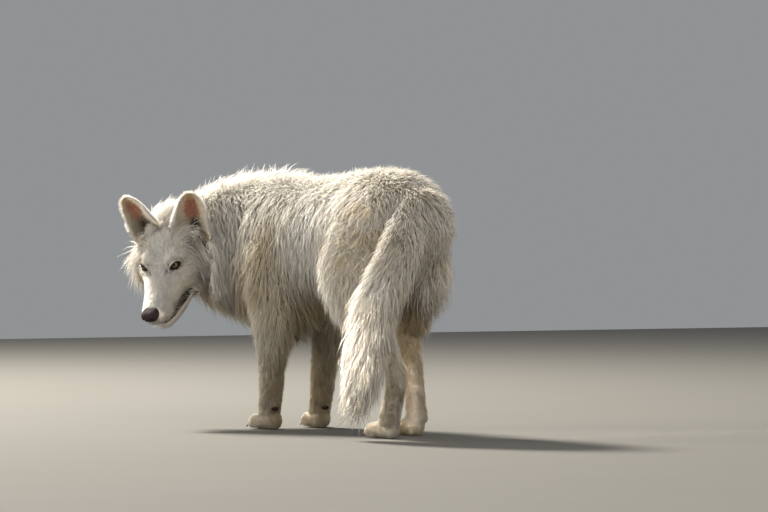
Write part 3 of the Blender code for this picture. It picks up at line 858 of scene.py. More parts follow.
# from and to, from an eye's middle outwards and up, then how thick and how dark
tearLines = ((-0.017, -0.006, -0.024, -0.0065, 0.0026, 1.0), (-0.030, -0.001, -0.043, -0.0033, 0.0022, 0.8))
smudgeMiddle, smudgeHalf = (0.130, 0.440, 0.506), (0.12, 0.030, 0.022)
sine, cosine = 0.545, 0.839         # of the 33 degrees that the tail's outer side is turned by


# the grey patch on top of the tail: an egg that runs in through the tail, from its outer side
def smudge(points):
    x, y, z = (points - shift - smudgeMiddle).T
    return bell((sine * x + cosine * y) / smudgeHalf[0], (sine * y - cosine * x) / smudgeHalf[1], z / smudgeHalf[2])


# where each patch of the body lies, from 0 to 1
def bodyPatches(x, y, z, tail):
    found = {name: bell((y - y0) / wide, (z - z0) / tall) for name, (y0, z0, wide, tall) in patches.items()}
    found["haunch"] *= ramp(np.abs(x), 0.05, 0.10)
    found["shadedHollow"] *= ramp(x, 0.04, 0.09)
    found["thigh"] *= (1 - ramp(np.abs(x + 0.045), 0.05, 0.08)) * (1 - tail)
    found["under"] = found["elbow"] + 0.8 * found["chest"] + found["underRuff"]
    found["legs"] = (1 - ramp(z, 0.16, 0.38)) * (1 - tail)
    found["belly"] = (1 - ramp(z, 0.34, 0.46)) * (1 - ramp(np.abs(x), 0.07, 0.12)) * (1 - ramp(y, 0.22, 0.30))
    ruffShadeBand = bell((y + 0.225 + 0.15 * (0.58 - z)) / 0.060)        # painted shade, in a slanting band behind the cheek's ruff
    found["ruffShadeBand"] = ruffShadeBand * ramp(z, 0.34, 0.42) * (1 - ramp(z, 0.54, 0.64)) * ramp(np.abs(x), 0.035, 0.08)
    return found


# how tan, grey and dark the coat is at a point: each patch of the body adds its share, some of it painted shade and
# warm bounced light; a rusty edge runs down the tail; the head is pale with tan cheeks and throat; painted shade
# darkens the foot of each ear; and a dark line runs from each eye's inner corner
def markings(points):
    body = points - shift
    x, y, z = body.T
    place = (points - eyeMiddle) @ axes.T
    a, l, b = place.T
    isHead = ramp(a, -0.14, -0.06) * (1 - ramp(np.abs(l), 0.13, 0.17)) * ramp(b, -0.20, -0.15)
    cloud = softNoise(points, 0.06, 3) * 0.5 + softNoise(points, 0.025, 4) * 0.5
    tail = 1 - ramp(apartFrom(points, "tail"), 0.065, 0.085)
    on = bodyPatches(x, y, z, tail)
    tan = 0.30 + sum(share * on[name] for name, share in tanShares.items())
    grey = 0.03 + sum(share * on[name] for name, share in greyShares.items())
    outerEdge = ramp(sine * (y - 0.39) - cosine * (x - 0.165), 0.01, 0.05)
    tan = tan + tail * (1 - ramp(z, 0.15, 0.50)) * (0.14 + 0.30 * outerEdge)
    tan = tan + cloud * 0.15 * (1 + 1.5 * on["haunch"] + on["rump"] + on["ruffShadeBand"])
    # the throat's tan is partly the coat's own and partly painted warm light bounced from below; the right cheek's
    # extra tan is a painted warm glow of light through its ruff
    throat = ramp(-b, 0.06, 0.15) * ramp(-a, -0.02, 0.06)
    headTan = (
        0.07 + 0.13 * ramp(-b, 0.02, 0.08) + 0.24 * ramp(np.abs(l), 0.02, 0.06) + 0.55 * throat
        + 0.30 * ramp(-l, 0.050, 0.085) + 0.05 * cloud)
    tan = tan * (1 - isHead) + isHead * headTan
    grey = grey + 0.10 * cloud * on["haunch"] + 0.04 * throat * isHead
    grey = grey * (1 - isHead * (1 - throat)) + 0.04 * isHead
    face = np.stack([a * 0.4, l, b * (0.4 + 0.6 * ramp(a, -0.05, 0.02))], 1)
    streak = softNoise(face, 0.0065, 51) + 0.7 * softNoise(face, 0.016, 52)     # drawn out along the hair
    grey = grey + isHead * (0.05 + 0.13 * streak)
    tan = tan + isHead * 0.07 * softNoise(face, 0.020, 53)
    grain = softNoise(body * (1, 1, 0.3), 0.009, 54) * (1 - isHead) * (1.3 - ramp(z, 0.16, 0.38))    # down the legs
    tan, grey = tan + 0.14 * grain, grey + 0.20 * grain
    dark = np.zeros(len(points))
    # painted shade round the foot of each ear, broken up by the streaks
    for flip in flips.values():
        foot = (place - ear["root"][flip] - ear["earShade"]["middle"]) / ear["earShade"]["half"]
        earShade = 1 - ramp(np.linalg.norm(foot, axis=1) + 0.7 * streak, 0.6, 1.4)
        dark = np.maximum(dark, ear["earShade"]["dark"][flip] * earShade)
    for side in flips:
        across, over, out = inEye(points, side)
        for x0, y0, x1, y1, thick, most in tearLines:
            wide, tall = x1 - x0, y1 - y0
            t = np.clip(((across - x0) * wide + (over - y0) * tall) / (wide**2 + tall**2), 0, 1)
            line = 1 - ramp(np.hypot(across - x0 - wide * t, over - y0 - tall * t), thick * 0.6, thick * 1.7)
            dark = np.maximum(dark, line * most * (1 - 0.3 * t) * (np.abs(out) < 0.04))
        dark = np.maximum(dark, eyeRim(across, over) * (out < 0.018) * (out > -0.004))
        grey = np.maximum(grey, 0.55 * (1 - ramp(eyeOval(across, over), 1.1, 2.2)) * (np.abs(out) < 0.03))
    return np.clip(np.stack([tan, grey, dark], 1), 0, 1)


creaseShadeTone = np.array([0.2, 0.6, 0.15])     # painted shade: what a hollow on the paws adds to tan, grey and dark
# painted shade in the paws' hollows: darker where the skin lies below its smoothed self, fading out between 4.5 and 6
# cm up
creaseShade = dot(evened(skinPoints, skinTriangles, 12) - skinPoints, skinNormals)
creaseShade = ramp(creaseShade, 0.0001, 0.0010) * (1 - ramp(skinPoints[:, 2], 0.045, 0.060))
skinTone = markings(skinPoints) + creaseShade[:, None] * creaseShadeTone
# the inside of the mouth is painted black as shade
skinTone[:, 2] = np.maximum(skinTone[:, 2], mouthShade)
skinPiece = newPiece("skin", skinPoints, skinTriangles, skinMaterial, "coat")
isShort = 1 - ramp(depth, 0.006, 0.018)          # where the coat is short the skin is as light as the hair; under a long coat it takes part of the hair root's painted shade
setColours(skinPiece.data, "coat", np.column_stack([skinTone, 0.25 + 0.3 * isShort]))
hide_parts(*fleshNodes)
print("skin finished")


# a lock is three-sided: rings of three points along a path that leaves the skin, bends over and ends in a point
def lockTriangles(rings):
    faces = [(0, 2, 1)]
    for k in range(rings - 1):
        for j in range(3):
            a, b = k * 3 + j, k * 3 + (j + 1) % 3
            faces += [(a, b, b + 3), (a, b + 3, a + 3)]
    last = (rings - 1) * 3
    faces += [(last + j, last + (j + 1) % 3, rings * 3) for j in range(3)]
    return np.array(faces)


# path: up along the normal as 1 - (1 - t)^p of the height, along the lie by the run, pulled to the clump's centre
# as t^1.5, and swaying sideways as a sine that grows outwards
def lockPoints(root, normal, way, run, height, width, pull, sway, waves, phase, droop, steps, widths, lean=1.8):
    t = np.array(steps + [1.0])
    side = np.cross(normal, way)
    run, height, width, sway, waves, phase, droop = (
        values[:, None, None] for values in (run, height, width, sway, waves, phase, droop))
    root, normal, way, pull, side = (values[:, None] for values in (root, normal, way, pull, side))

    def at(s):
        s = s[None, :, None]
        rise = height * (1 - (1 - s) ** lean) - 0.0015 * (1 - s)
        swing = sway * np.sin(waves * 2 * np.pi * s + phase) * s**0.7
        return root + normal * rise + way * run * s + pull * s**1.5 + side * swing - up * droop * s**2

    path = at(t)
    slope = unit(at(t + 0.03) - at(t))
    across = unit(np.cross(normal, slope))
    outward = np.cross(slope, across)
    turn = np.radians([90, 210, 330])
    thick = width * np.array(widths)[None, :, None] / 2
    rings = (
        path[:, :-1, None]
        + across[:, :-1, None] * (np.cos(turn)[None, None] * thick)[..., None]
        + outward[:, :-1, None] * (np.sin(turn)[None, None] * thick * 0.6)[..., None]
    )
    return np.concatenate([rings.reshape(len(root), -1, 3), path[:, -1:]], 1)


# roots scattered over a surface by the density at its vertices, with the vertices' values blended at each root
def sow(points, triangles, density, count, values):
    corners = points[triangles]
    area = np.linalg.norm(np.cross(corners[:, 1] - corners[:, 0], corners[:, 2] - corners[:, 0]), axis=1) / 2
    weight = np.cumsum(area * density[triangles].mean(1))
    pick = np.searchsorted(weight, (np.arange(count) + rng.random(count)) / count * weight[-1])
    pick = np.minimum(pick, len(triangles) - 1)
    u, v = rng.random((2, count))
    u, v = np.where(u + v > 1, 1 - u, u), np.where(u + v > 1, 1 - v, v)
    share = np.stack([1 - u - v, u, v], 1)
    return (values[triangles[pick]] * share[..., None]).sum(1), pick


longLock = dict(steps=[0.0, 0.32, 0.66], widths=[0.85, 1.0, 0.62])
shortLock = dict(steps=[0.0, 0.5], widths=[0.9, 0.75])

# one piece from many locks: their colours, their place on the flat surface and, so that the coat looks soft, shading
# that leans towards the given facing
def lockPiece(name, points, kind, tone, uv, material, slot, facing=None):
    rings = len(kind["steps"])
    per = rings * 3 + 1
    count = len(points)
    triangles = (lockTriangles(rings)[None] + (np.arange(count) * per)[:, None, None]).reshape(-1, 3)
    piece = newPiece(name, points.reshape(-1, 3), triangles, material, slot)
    out = np.repeat(np.array(kind["steps"] + [1.0]), [3] * rings + [1])
    colours = np.concatenate([np.repeat(tone[:, None], per, 1), np.repeat(out[None, :, None], count, 0)], 2)
    setColours(piece.data, "coat", colours.reshape(-1, 4))
    spread = np.concatenate([np.tile([0.0, 1.0, 0.5], rings), [0.5]]) - 0.5
    patch = np.stack([spread * 0.003, (out - 0.5) * 0.003], 1)
    spots = (uv[:, None] + patch[None]).reshape(-1, 2)
    layer = piece.data.uv_layers.new(name="OFBake")
    layer.uv.foreach_set("vector", spots[triangles.ravel()].astype(np.float32).ravel())
    if facing is not None:
        own = vertexNormals(points.reshape(-1, 3), triangles)
        mixed = unit(own * 0.45 + np.repeat(facing, per, 0) * 0.55)
        piece.data.normals_split_custom_set_from_vertices(mixed.tolist())
    return piece


# where a root lies on its part opened out flat: the angle round the part's path, and the way along it
def opened(points, name):
    made = skinParts[name]["loft"]
    rows = made["rows"]
    near = np.linalg.norm(points[:, None] - rows[None, :, :3], axis=2).argmin(1)
    away = points - rows[near, :3]
    turn = np.arctan2(dot(away, made["top"][near]), dot(away, made["side"][near]))
    length = np.concatenate([[0], np.cumsum(np.linalg.norm(np.diff(rows[:, :3], axis=0), axis=1))])
    along = length[near] + dot(away, made["ways"][near])
    flat = np.stack([turn / (2 * np.pi) + 0.5, (along - along.min()) / max(np.ptp(along), 1e-6)], 1)
    return 0.01 + 0.98 * flat

clumpSizes = np.array([0.008, 0.012, 0.018, 0.024])


# each root's clump: its centre, and a random number that the whole clump shares
def clumpsOf(root, clump):
    centres, tags = np.zeros_like(root), np.zeros(len(root))
    nearestSize = np.abs(clump[:, None] - clumpSizes).argmin(1)
    for k, size in enumerate(clumpSizes):
        chosen = nearestSize == k
        if chosen.any():
            centres[chosen], tags[chosen] = clumps(root[chosen], size, 5)
    return centres, tags


# grows locks on a surface whose vertices carry the coat's values, and gives back what a piece is made from
def plant(ground, count):
    points, triangles = ground["points"], ground["triangles"]
    values = [points, ground["normals"], ground["lie"]]
    values += [np.broadcast_to(ground[k], len(points)) for k in ("length", "height", "width", "sway", "clump", "curls")]
    values += [ground["flat"]] if "flat" in ground else []
    found, pick = sow(points, triangles, ground["density"], count, np.column_stack(values))
    root, normal, way = found[:, :3], unit(found[:, 3:6]), found[:, 6:9]
    length, height, width, sway, clump, curls = found[:, 9:15].T
    bend = ground.get("bend", 0.30) * softNoise(root, 0.05, 21) + 0.14 * rng.normal(size=count)
    way = flatOn(unit(way + np.cross(normal, way) * bend[:, None]), normal)
    centres, tags = clumpsOf(root, clump)
    isFree = ramp(length, 0.006, 0.018)             # short hair is neither gathered nor varied by its clump
    tags = 0.5 + (tags - 0.5) * isFree
    tuft = tags - 0.5
    gather = (centres - root) * isFree[:, None]
    gather -= normal * dot(gather, normal)[:, None]
    stand = 0.60 + 0.40 * rng.random(count) + 0.14 * tuft
    stray = rng.random(count) < 0.10
    height = height * np.where(stray, 1.05 + 0.25 * rng.random(count), stand)
    length = length * (0.80 + 0.36 * rng.random(count) + 0.10 * tuft)
    run = np.sqrt(np.maximum(length**2 - height**2, (0.35 * length) ** 2)) * (1 - 0.45 * curls)

    # shading: ruffled, more so on the legs, and looking up on the upper coat
    ruffle = sum(
        share * np.stack([softNoise(root, size, seed + k) for k in range(3)], 1)
        for share, size, seed in ((1, 0.010, 31), (0.6, 0.022, 41)))
    onLeg = 1 - ramp(root[:, 2], 0.25, 0.40)
    lift = ground.get("lift", 0.45) * ramp(root[:, 2], 0.50, 0.62) + ground.get("lift", 0.0)
    ruffle = ground.get("ruffle", 0.30) * (1 + 0.9 * onLeg)[:, None] * ruffle
    facing = unit(normal + ruffle + up * lift[:, None] + ground.get("leaning", 0.0))

    # colour: every lock and every tuft differs a little, curls more, and the tail's smudge lies where locks show
    tone = ground["tones"](root, found[:, 15:]) if "tones" in ground else markings(root)
    shows = root + way * (0.75 * run)[:, None] + normal * (0.8 * height)[:, None]
    tanner = 0.09 * rng.normal(size=count) + 0.18 * tuft + (0.08 + 1.25 * tuft) * curls
    greyer = 0.08 * rng.normal(size=count) + 0.08 * tuft + (0.08 + 0.95 * tuft) * curls + 0.85 * smudge(shows)
    tone = np.clip(tone + np.column_stack([tanner, greyer, np.zeros(count)]), 0, 1)
    sway = length * (sway * (0.3 + 0.7 * rng.random(count)) + 0.28 * curls)
    waves = 0.5 + 0.5 * rng.random(count) + 0.5 * curls
    phase = (tags * isFree + rng.random(count) * (1 - isFree)) * 2 * np.pi + rng.normal(size=count) * 0.5
    droop = length * ground.get("droop", 0.18) * (1 - 0.85 * ramp(normal[:, 2], 0.0, 0.7))
    return dict(
        root=root, normal=normal, facing=facing, way=way, run=run, height=height, width=width / fine**0.5,
        pull=gather * ground.get("gather", 0.5), sway=sway, waves=waves, phase=phase, droop=droop, tone=tone,
        length=length, pick=pick, flat=found[:, 15:17])


# a piece from the chosen locks, kept above the floor
def pieceOf(name, locks, chosen, kind, flat, slot):
    keys = ("root", "normal", "way", "run", "height", "width", "pull", "sway", "waves", "phase", "droop")
    points = lockPoints(*(locks[k][chosen] for k in keys), kind["steps"], kind["widths"])
    points[..., 2] = np.maximum(points[..., 2], 0.0006)
    return lockPiece(name, points, kind, locks["tone"][chosen], flat, hairMaterial, slot, locks["facing"][chosen])

# a whole piece of locks, opened out flat by a part's path or by the ground's own flat places
def growPiece(name, ground, count, kind, slot, part=None):
    locks = plant(ground, int(count * fine))
    flat = opened(locks["root"], part) if part else locks["flat"]
    pieceOf(name, locks, slice(None), kind, flat, slot)


# shortest: on the paws, and how much more higher up; a lock is a long one from longFrom; lengths in metres
bodyCoat = dict(locks=94000, shortest=(0.009, 0.009), mostTriangles=190000, longFrom=0.036)
skinGround = dict(points=skinPoints, triangles=skinTriangles, normals=skinNormals)


# locks all over the skin: their length follows the coat's depth, their number the area that one lock covers; a piece
# holds the long or the short ones of one part
def growBodyCoat():
    mainPart = near.argmin(1)
    onTail = shares[:, partNames.index("tail")]
    a, l, b = inHead.T
    x, y, z = (skinPoints - shift).T
    height = depth * (0.95 + 0.15 * onTail)
    least, more = bodyCoat["shortest"]
    length = np.maximum(height * byPart("ratio"), least + more * ramp(z, 0.06, 0.2))
    muzzle = ramp(a, -0.01, 0.05) * (np.abs(l) < 0.08) * (b > -0.17)
    length, width = length * (1 - 0.40 * muzzle), byPart("width") * (1 - 0.35 * muzzle)
    curls = bell((y - 0.225) / 0.085, (z - 0.525) / 0.10) * ramp(np.abs(x), 0.07, 0.10)
    ground = dict(
        skinGround, lie=lie, length=length, height=height, width=width, sway=byPart("sway"), clump=byPart("clump"),
        curls=curls, density=byPart("cover") / (width * length) * (1 - bare) ** 2,
        # the paws' painted crease shade rides along to the locks that grow there
        flat=np.column_stack([creaseShade, creaseShade]), tones=lambda root, flat: markings(root) + flat[:, :1] * creaseShadeTone)
    locks = plant(ground, int(bodyCoat["locks"] * fine))
    part, pieces = mainPart[skinTriangles[locks["pick"], 0]], []
    for k, name in enumerate(partNames):
        mine = np.flatnonzero(part == k)
        isLong = locks["length"][mine] >= bodyCoat["longFrom"]
        slot = "tail_coat" if name == "tail" else "leg_coat" if name in stance else "coat"
        for kind, label, chosen in ((longLock, "long", mine[isLong]), (shortLock, "short", mine[~isLong])):
            if not len(chosen):
                continue
            order = chosen[np.argsort(locks["root"][chosen, 1])]
            most = bodyCoat["mostTriangles"] // len(lockTriangles(len(kind["steps"])))
            for n, some in enumerate(np.array_split(order, math.ceil(len(order) / most)), 1):
                flat = opened(locks["root"][some], name)
                pieces.append(pieceOf(f"coat_{name}_{label}_{n}", locks, some, kind, flat, slot))
    print("coat", len(pieces), "pieces", sum(len(p.data.polygons) for p in pieces), "triangles")


growBodyCoat()

# the cheeks' ruff: long locks that fan out and hang over the neck; and a mane of long fine hairs that breaks the
# outline along the nape, the withers and the back
ruff = dict(
    locks=7200, length=0.078, spread=0.032, edge=0.052, start=(-0.098, 0.086, -0.026), end=(-0.062, 0.130, -0.106),
    earFoot=(-0.090, 0.080, 0.020), right=0.32, rightLength=0.50)
mane = dict(locks=3600, length=0.050)


# the ruff grows along a line from below the ear to the cheek's corner, thinning out as a bell to both sides
def growRuff():
    a, l, b = inHead.T
    flip = np.sign(l)
    isLeft = flip > 0
    place = np.column_stack([a, np.abs(l), b])
    start, end = np.array(ruff["start"]), np.array(ruff["end"])
    along = np.clip(dot(place - start, (end - start)[None]) / dot(end - start, end - start), 0, 1)
    apart = np.linalg.norm(place - start - (end - start) * along[:, None], axis=1)
    density = bell(apart / ruff["spread"]) * (apart < ruff["edge"]) * np.where(isLeft, 1.0, ruff["right"])
    density = density * ramp(np.linalg.norm(place - ruff["earFoot"], axis=1), 0.030, 0.048)
    lift = ramp(density, 0.1, 0.8)
    low = ramp(-b, 0.0, 0.10)
    out = (ahead * 0.15 - brow * 0.5)[None] + left * (0.8 * flip)[:, None] - up * (0.2 + 0.25 * low)[:, None]
    height = np.maximum(depth * (0.8 + np.where(isLeft, 0.65, -0.1) * lift), 0.014) + 0.009 * lift * isLeft
    ground = dict(
        skinGround, lie=flatOn(out, skinNormals), length=ruff["length"] * np.where(isLeft, 1.0, ruff["rightLength"]),
        height=height, ruffle=0.4, width=0.0023, sway=0.10, clump=0.018, curls=0.0, density=density, bend=0.15,
        gather=0.6, droop=0.14, lift=0.30, leaning=brow * 0.6,
        tones=lambda root, flat: markings(root) * (0.2, 0.1, 0) + (0.20, 0, 0))
    growPiece("ruffCoat", ground, ruff["locks"], longLock, "coat", "skull")


# the mane grows on what faces up, more of it towards the shoulders
def growMane():
    y, z = (skinPoints - shift).T[1:]
    top = ramp(skinNormals[:, 2], 0.25, 0.75) * (z > 0.5)
    forward = ramp(-y, -0.30, 0.20) + 0.45
    onHeadTop = np.linalg.norm(inHead, axis=1) < 0.13
    ground = dict(
        skinGround, lie=lie, length=mane["length"] * (0.7 + 0.5 * ramp(-y, 0.0, 0.3)), height=depth * 1.0 + 0.002,
        width=0.0016, sway=0.10, clump=0.012, curls=0.0, density=top * forward * ~onHeadTop, bend=0.35, gather=0.3,
        droop=0.02)
    growPiece("maneCoat", ground, mane["locks"], shortLock, "coat", "trunk")


growRuff()
growMane()


# a cupped leaf: each ring is an arc that flattens towards the tip; its outer and inner arcs make a thin shell
def earShell(flip):
    grows = unit(np.array(ear["grows"][flip])) @ axes
    looks = flatOn(np.array(ear["looks"][flip]) @ axes, grows)
    across = np.cross(grows, looks)
    base = onHead(*ear["root"][flip])
    tip = 0.8 + 0.2 * np.sin(np.linspace(0, np.pi / 2, 8))
    v = np.concatenate([np.linspace(-0.2, 0.8, ear["rows"] - 8, endpoint=False), tip])[:, None]
    rise = np.maximum(v, 0)
    width = (ear["width"] - ear["taper"] * rise) * np.maximum(1 - rise**5, 0) ** 0.5
    width = np.maximum(width, 0.008) / 2
    cup = np.radians(56 - 32 * rise)
    radius = width / np.sin(cup)
    share = np.concatenate([np.linspace(-1, 1, ear["turns"]), np.linspace(1, -1, ear["turns"])])[None]
    layer = np.repeat([1.0, -1.0], ear["turns"])[None]
    edge = 1 - 0.7 * np.abs(share) ** 6             # the shell thins to its rim
    turn = share * cup
    reach = radius + ear["thick"] / 2 * layer * edge
    back = reach * np.cos(turn) - radius * np.cos(cup)
    middle = base + grows * ear["height"] * v + looks * 0.012 * rise**2
    points = middle[:, None] + across * (reach * np.sin(turn))[..., None] - looks * back[..., None]
    points = points.reshape(-1, 3)
    triangles = facingOut(points, tubeTriangles(len(v), 2 * ear["turns"]), base)
    inner = np.broadcast_to((layer < 0) * 1.0, reach.shape).ravel()
    along, off = np.broadcast_to(v, reach.shape).ravel(), np.broadcast_to(share, reach.shape).ravel()
    return points, triangles, inner, along, off * flip, grows, across * flip


# inside, pink in the upper middle, painted shade low down towards the outer edge, tan between; outside, cream
def earTones(inner, along, off):
    pink = 0.95 * inner * np.exp(-(((off + 0.06) / 0.68) ** 4)) * ramp(along, 0.12, 0.42) * (1 - ramp(along, 0.78, 1.0))
    earShade = inner * np.exp(-(((off - 0.12) / 0.50) ** 2 + ((along - 0.10) / 0.30) ** 2))
    within = inner * ramp(1 - np.abs(off), 0.0, 0.08)
    tan = 0.14 + within * 0.85 + 0.25 * ramp(along, 0.85, 1.0)
    return np.stack([tan, 0.34 * within, np.clip(earShade * 1.6, 0, 0.97)], 1), pink


# the coat's own material with pink where the attribute "blush" says
def earMaterial():
    material = coatMaterial("ear skin", 0.6, bump=0.35)
    tree = material.node_tree
    plain = tree.nodes["Principled BSDF"].inputs["Base Color"].links[0].from_socket
    blush = addNode(tree, "ShaderNodeAttribute", attribute_name="blush").outputs["Fac"]
    colourWith(tree, mixColours(tree, blush, plain, ear["pink"]))
    return material


earSkin = earMaterial()


# one ear: outside, the hair runs to the tip; inside, it runs in and up from both edges, long at the base
def makeEar(side, flip):
    points, triangles, inner, along, off, grows, across = earShell(flip)
    tones, pink = earTones(inner, along, off)
    piece = newPiece(f"earShell_{side}", points, triangles, earSkin, "ear")
    setColours(piece.data, "coat", np.column_stack([tones, np.full(len(tones), 0.6)]))
    setValues(piece.data, "blush", pink)
    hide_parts(f"ear_{side}")
    normals = vertexNormals(points, triangles)
    rim = np.clip(ramp(np.abs(off), 0.80, 0.98) + ramp(along, 0.94, 1.0), 0, 1)
    isInner = inner > 0.5
    lieOut = np.repeat(grows[None], len(points), 0) + across * (off * 0.25)[:, None]
    lieIn = grows * 0.8 - across * (np.sign(off) * 0.9)[:, None]
    overRim = grows * ramp(along, 0.8, 1.0)[:, None] + across * (off * rim)[:, None]
    edges = ramp(np.abs(off), 0.45, 0.9)
    low = 1 - ramp(along, 0.15, 0.5)
    density = np.where(isInner, 0.06 + 1.0 * edges * (along > 0) + 0.5 * low, 1.0) * ramp(along, -0.18, -0.05)
    ground = dict(
        points=points, triangles=triangles, normals=normals,
        lie=flatOn(np.where(isInner[:, None], lieIn, lieOut) + overRim, normals),
        length=np.where(isInner, 0.008 + 0.008 * edges * (1 - 0.4 * along) + 0.014 * low, 0.011 + 0.008 * low),
        height=np.where(isInner, 0.0030 + 0.0040 * edges + 0.004 * low, 0.0028) + 0.0014 * rim,
        width=0.0013, sway=0.12, clump=0.008, curls=0.0, density=density + 0.8 * rim, bend=0.15, gather=0.35,
        droop=0.05,
        flat=np.column_stack([along * 0.8 + 0.18, np.where(isInner, 0.75, 0.25) + off * 0.22, inner, along, off]),
        tones=lambda root, flat: earTones(np.round(flat[:, 2]) * 0.9, flat[:, 3], flat[:, 4])[0])
    growPiece(f"earCoat_{side}", ground, ear["locks"], shortLock, "ear")


for side, flip in flips.items():
    makeEar(side, flip)
print("ears made")

# an eyeball; the iris and the pupil end at an angle, in degrees, from the middle of the pupil
eye = dict(radius=0.0124, iris=40, pupil=15, bulge=0.0007, look=(0.72, 0.42, 0.56), grid=48)
lid = dict(
    halfLength=0.0138, corner=-0.0046, upper=0.0088, lower=0.0030, reach=0.0148, outerLength=0.027,
    outerHeight=0.021, locks=2600)


# a ball whose clear front bulges a little; its attribute "ring" is the angle from the middle of the pupil
def makeEye(side, flip):
    centre, grid = eyeCentre[side], eye["grid"]
    forward = unit(np.array(eye["look"]) * (1, flip, 1)) @ axes
    across = unit(np.cross(up, forward))
    over = np.cross(forward, across)
    polar = np.linspace(0.01, np.pi - 0.01, grid)[:, None]
    turn = np.linspace(0, 2 * np.pi, grid, endpoint=False)
    radius = eye["radius"] + eye["bulge"] * (1 - ramp(np.degrees(polar), 10, 50))
    points = centre + (
        forward * (radius * np.cos(polar) * np.ones_like(turn))[..., None]
        + across * (radius * np.sin(polar) * np.cos(turn))[..., None]
        + over * (radius * np.sin(polar) * np.sin(turn))[..., None])
    points = points.reshape(-1, 3)
    triangles = facingOut(points, tubeTriangles(grid, grid)[:, ::-1], centre)
    piece = newPiece(f"eyeball_{side}", points, triangles, eyeMaterial, "eye")
    angle = np.repeat(np.degrees(polar), grid, 1).ravel()
    around = np.broadcast_to(turn / (2 * np.pi), (grid, grid)).ravel()
    setColours(piece.data, "ring", np.column_stack([angle / 90, around, np.zeros_like(angle), np.ones_like(angle)]))
    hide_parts(f"eye_{side}")


# pupil, amber iris with a paler greenish ring inside and radial streaks, dark limbus, brown white of the eye
def makeEyeMaterial():
    values = {"Coat Weight": 0.35, "Coat Roughness": 0.03, "Specular IOR Level": 0.2}
    material = newMaterial("eye", (0.5, 0.3, 0.06), 0.25, **values)
    tree = material.node_tree
    source = addNode(tree, "ShaderNodeAttribute", attribute_name="ring").outputs["Color"]
    angle, around = addNode(tree, "ShaderNodeSeparateColor", {0: source}).outputs[:2]
    rings = addNode(tree, "ShaderNodeValToRGB", {0: angle})
    stops = rings.color_ramp.elements
    pupil, iris = eye["pupil"] / 90, eye["iris"] / 90
    black = (0.004, 0.004, 0.004)
    inside = [
        (pupil, black), (pupil + 0.02, (0.22, 0.18, 0.07)), (pupil + 0.12, (0.25, 0.175, 0.060)),
        (iris - 0.08, (0.16, 0.10, 0.035)), (iris, (0.020, 0.013, 0.008)), (iris + 0.05, (0.05, 0.03, 0.02))]
    stops[0].position, stops[0].color = 0.0, (*black, 1)
    stops[1].position, stops[1].color = 1.0, (0.20, 0.13, 0.10, 1)
    for place, colour in inside:
        stops.new(place).color = (*colour, 1)
    wide = addNode(tree, "ShaderNodeMath", {0: around, 1: 70}, operation="MULTIPLY").outputs[0]
    spread = addNode(tree, "ShaderNodeCombineXYZ", {0: wide, 1: angle}).outputs[0]
    streaks = addNode(tree, "ShaderNodeTexNoise", dict(Vector=spread, Scale=1.0, Detail=4), noise_dimensions="2D")
    limits = {"From Min": 0.35, "From Max": 0.65, "To Min": 0.55, "To Max": 1.1}
    shade = addNode(tree, "ShaderNodeMapRange", {"Value": streaks.outputs["Fac"], **limits}).outputs[0]
    grey = addNode(tree, "ShaderNodeCombineColor", {0: shade, 1: shade, 2: shade}).outputs[0]
    colourWith(tree, mixColours(tree, 1.0, rings.outputs["Color"], grey, "MULTIPLY"))
    return material


eyeMaterial = makeEyeMaterial()


